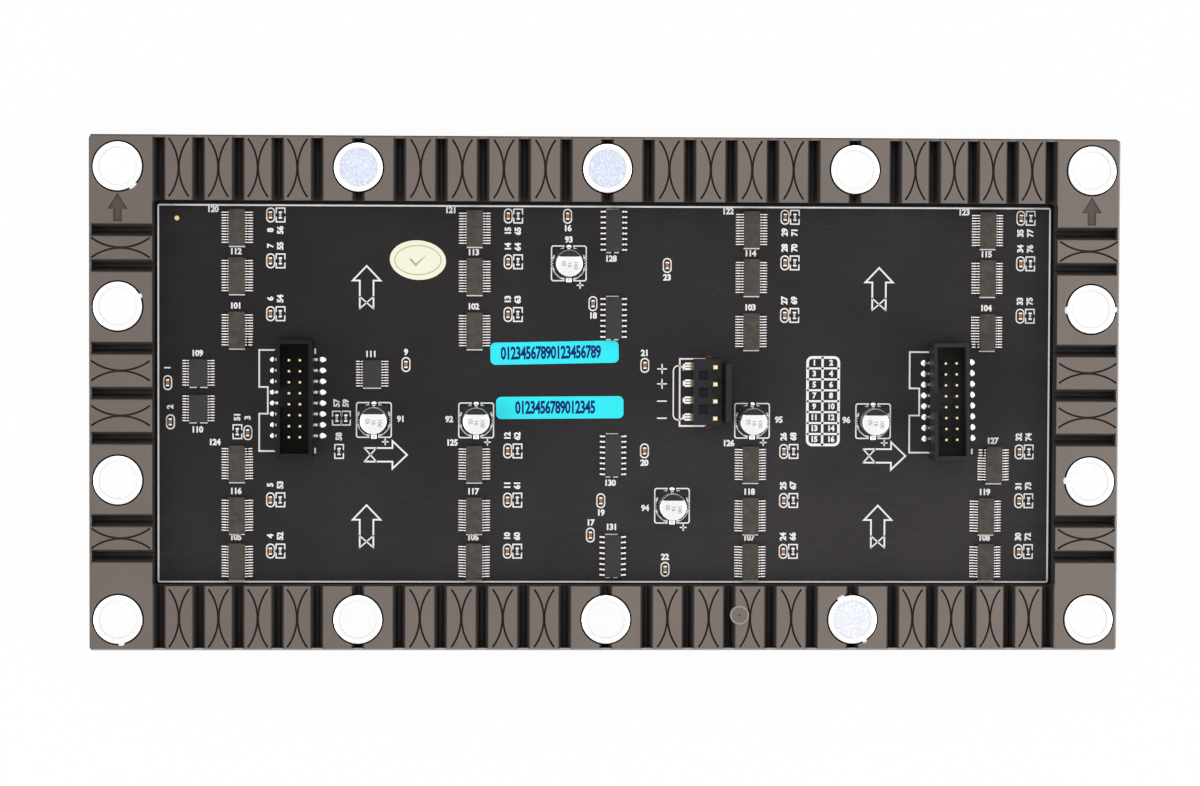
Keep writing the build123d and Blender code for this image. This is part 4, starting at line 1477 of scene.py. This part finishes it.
class LEDMODULE_OT_stage(bpy.types.Operator):
    """Set up the floor, the soft studio lamps, the surroundings and the camera"""
    bl_idname = "led_module.stage"
    bl_label = "Stage"

    def execute(self, context):
        look = context.scene.led_stage
        deselect()
        bpy.ops.mesh.primitive_plane_add(size=6, location=(0, 0, cad_low.z - 0.02 * MM))
        floor = settle("floor")
        material, tree, shader, place = blank("floor_paper", {
            "Base Color": look.floor, "Roughness": 0.9, "Specular IOR Level": 0.0})
        rays = add_node(tree, "LightPath")
        glow = add_node(tree, "Emission", {"Color": (1, 1, 1), "Strength": 1.0})["Emission"]
        share = add_node(tree, "Math", {0: rays["Is Camera Ray"], 1: 0.95}, operation="MULTIPLY")["Value"]
        both = add_node(tree, "MixShader", {"Fac": share, 1: shader.outputs["BSDF"], 2: glow})["Shader"]
        feed(tree, tree.nodes["Material Output"], {"Surface": both})
        floor.data.materials.append(material)
        self.surroundings(context.scene, look)
        for x in (-1, 1):
            self.lamp("side_lamp", (x * 0.95, -0.25, 0.75), look.side_power, 0.7)
        self.lamp("top_lamp", (0.0, 0.75, 1.1), look.top_power, 0.8)
        camera_data = bpy.data.cameras.new("camera")
        camera = bpy.data.objects.new("camera", camera_data)
        context.scene.collection.objects.link(camera)
        camera_data.lens = look.lens
        camera_data.sensor_width = 36
        camera_data.clip_start = 0.01
        camera.location = (look.camera_x, look.camera_y, look.camera_z)
        camera.rotation_euler = look.camera_turn
        bpy.context.scene.camera = camera
        context.scene.view_settings.view_transform = "Standard"
        return {"FINISHED"}

    @staticmethod
    def surroundings(scene, look):
        """White as seen and mirrored, softer as light on dull surfaces."""
        scene.world = bpy.data.worlds.new("studio")
        scene.world.use_nodes = True
        tree = scene.world.node_tree
        tree.nodes.clear()
        rays = add_node(tree, "LightPath")
        seen = rays["Is Camera Ray"]
        for other in ("Is Glossy Ray", "Is Transmission Ray"):
            seen = add_node(tree, "Math", {0: seen, 1: rays[other]}, operation="MAXIMUM")["Value"]
        soft, white = (add_node(tree, "Background", {"Color": (1, 1, 1), "Strength": strength})["Background"]
                       for strength in (look.fill, 1.0))
        both = add_node(tree, "MixShader", {"Fac": seen, 1: soft, 2: white})["Shader"]
        add_node(tree, "OutputWorld", {"Surface": both}, is_active_output=True)

    @staticmethod
    def lamp(name, place, power, side):
        """A square soft lamp that points at the module."""
        data = bpy.data.lights.new(name, "AREA")
        data.energy = power
        data.size = side
        lamp = bpy.data.objects.new(name, data)
        bpy.context.scene.collection.objects.link(lamp)
        lamp.location = place
        lamp.rotation_euler = (-Vector(place)).to_track_quat("-Z", "Y").to_euler()


class LEDMODULE_PT_panel(bpy.types.Panel):
    """Buttons for each piece and their settings"""
    bl_label = "LED module"
    bl_idname = "LEDMODULE_PT_panel"
    bl_space_type = "VIEW_3D"
    bl_region_type = "UI"
    bl_category = "LED module"

    def draw(self, context):
        for operator in OPERATORS:
            self.layout.operator(operator.bl_idname)
        for group, attribute in GROUPS:
            box = self.layout.box()
            box.label(text=group.__doc__)
            for name in group.__annotations__:
                box.prop(getattr(context.scene, attribute), name)


GROUPS = (
    (StageSettings, "led_stage"), (FrameSettings, "led_frame"), (BoardSettings, "led_board"),
    (PartSettings, "led_parts"), (FrontSettings, "led_front"),
)
OPERATORS = (
    LEDMODULE_OT_stage, LEDMODULE_OT_materials, LEDMODULE_OT_rubber_frame, LEDMODULE_OT_magnets,
    LEDMODULE_OT_board, LEDMODULE_OT_print, LEDMODULE_OT_chips, LEDMODULE_OT_small_parts,
    LEDMODULE_OT_electrolytics, LEDMODULE_OT_headers, LEDMODULE_OT_stickers, LEDMODULE_OT_front,
)


def register():
    for group, attribute in GROUPS:
        bpy.utils.register_class(group)
        setattr(bpy.types.Scene, attribute, PointerProperty(type=group))
    for item in (*OPERATORS, LEDMODULE_PT_panel):
        bpy.utils.register_class(item)


def unregister():
    for item in (LEDMODULE_PT_panel, *reversed(OPERATORS)):
        bpy.utils.unregister_class(item)
    for group, attribute in reversed(GROUPS):
        delattr(bpy.types.Scene, attribute)
        bpy.utils.unregister_class(group)


def main():
    """Register the classes and make every piece."""
    register()
    for operator in OPERATORS:
        section, name = operator.bl_idname.split(".")
        getattr(getattr(bpy.ops, section), name)()


if __name__ == "__main__":
    main()
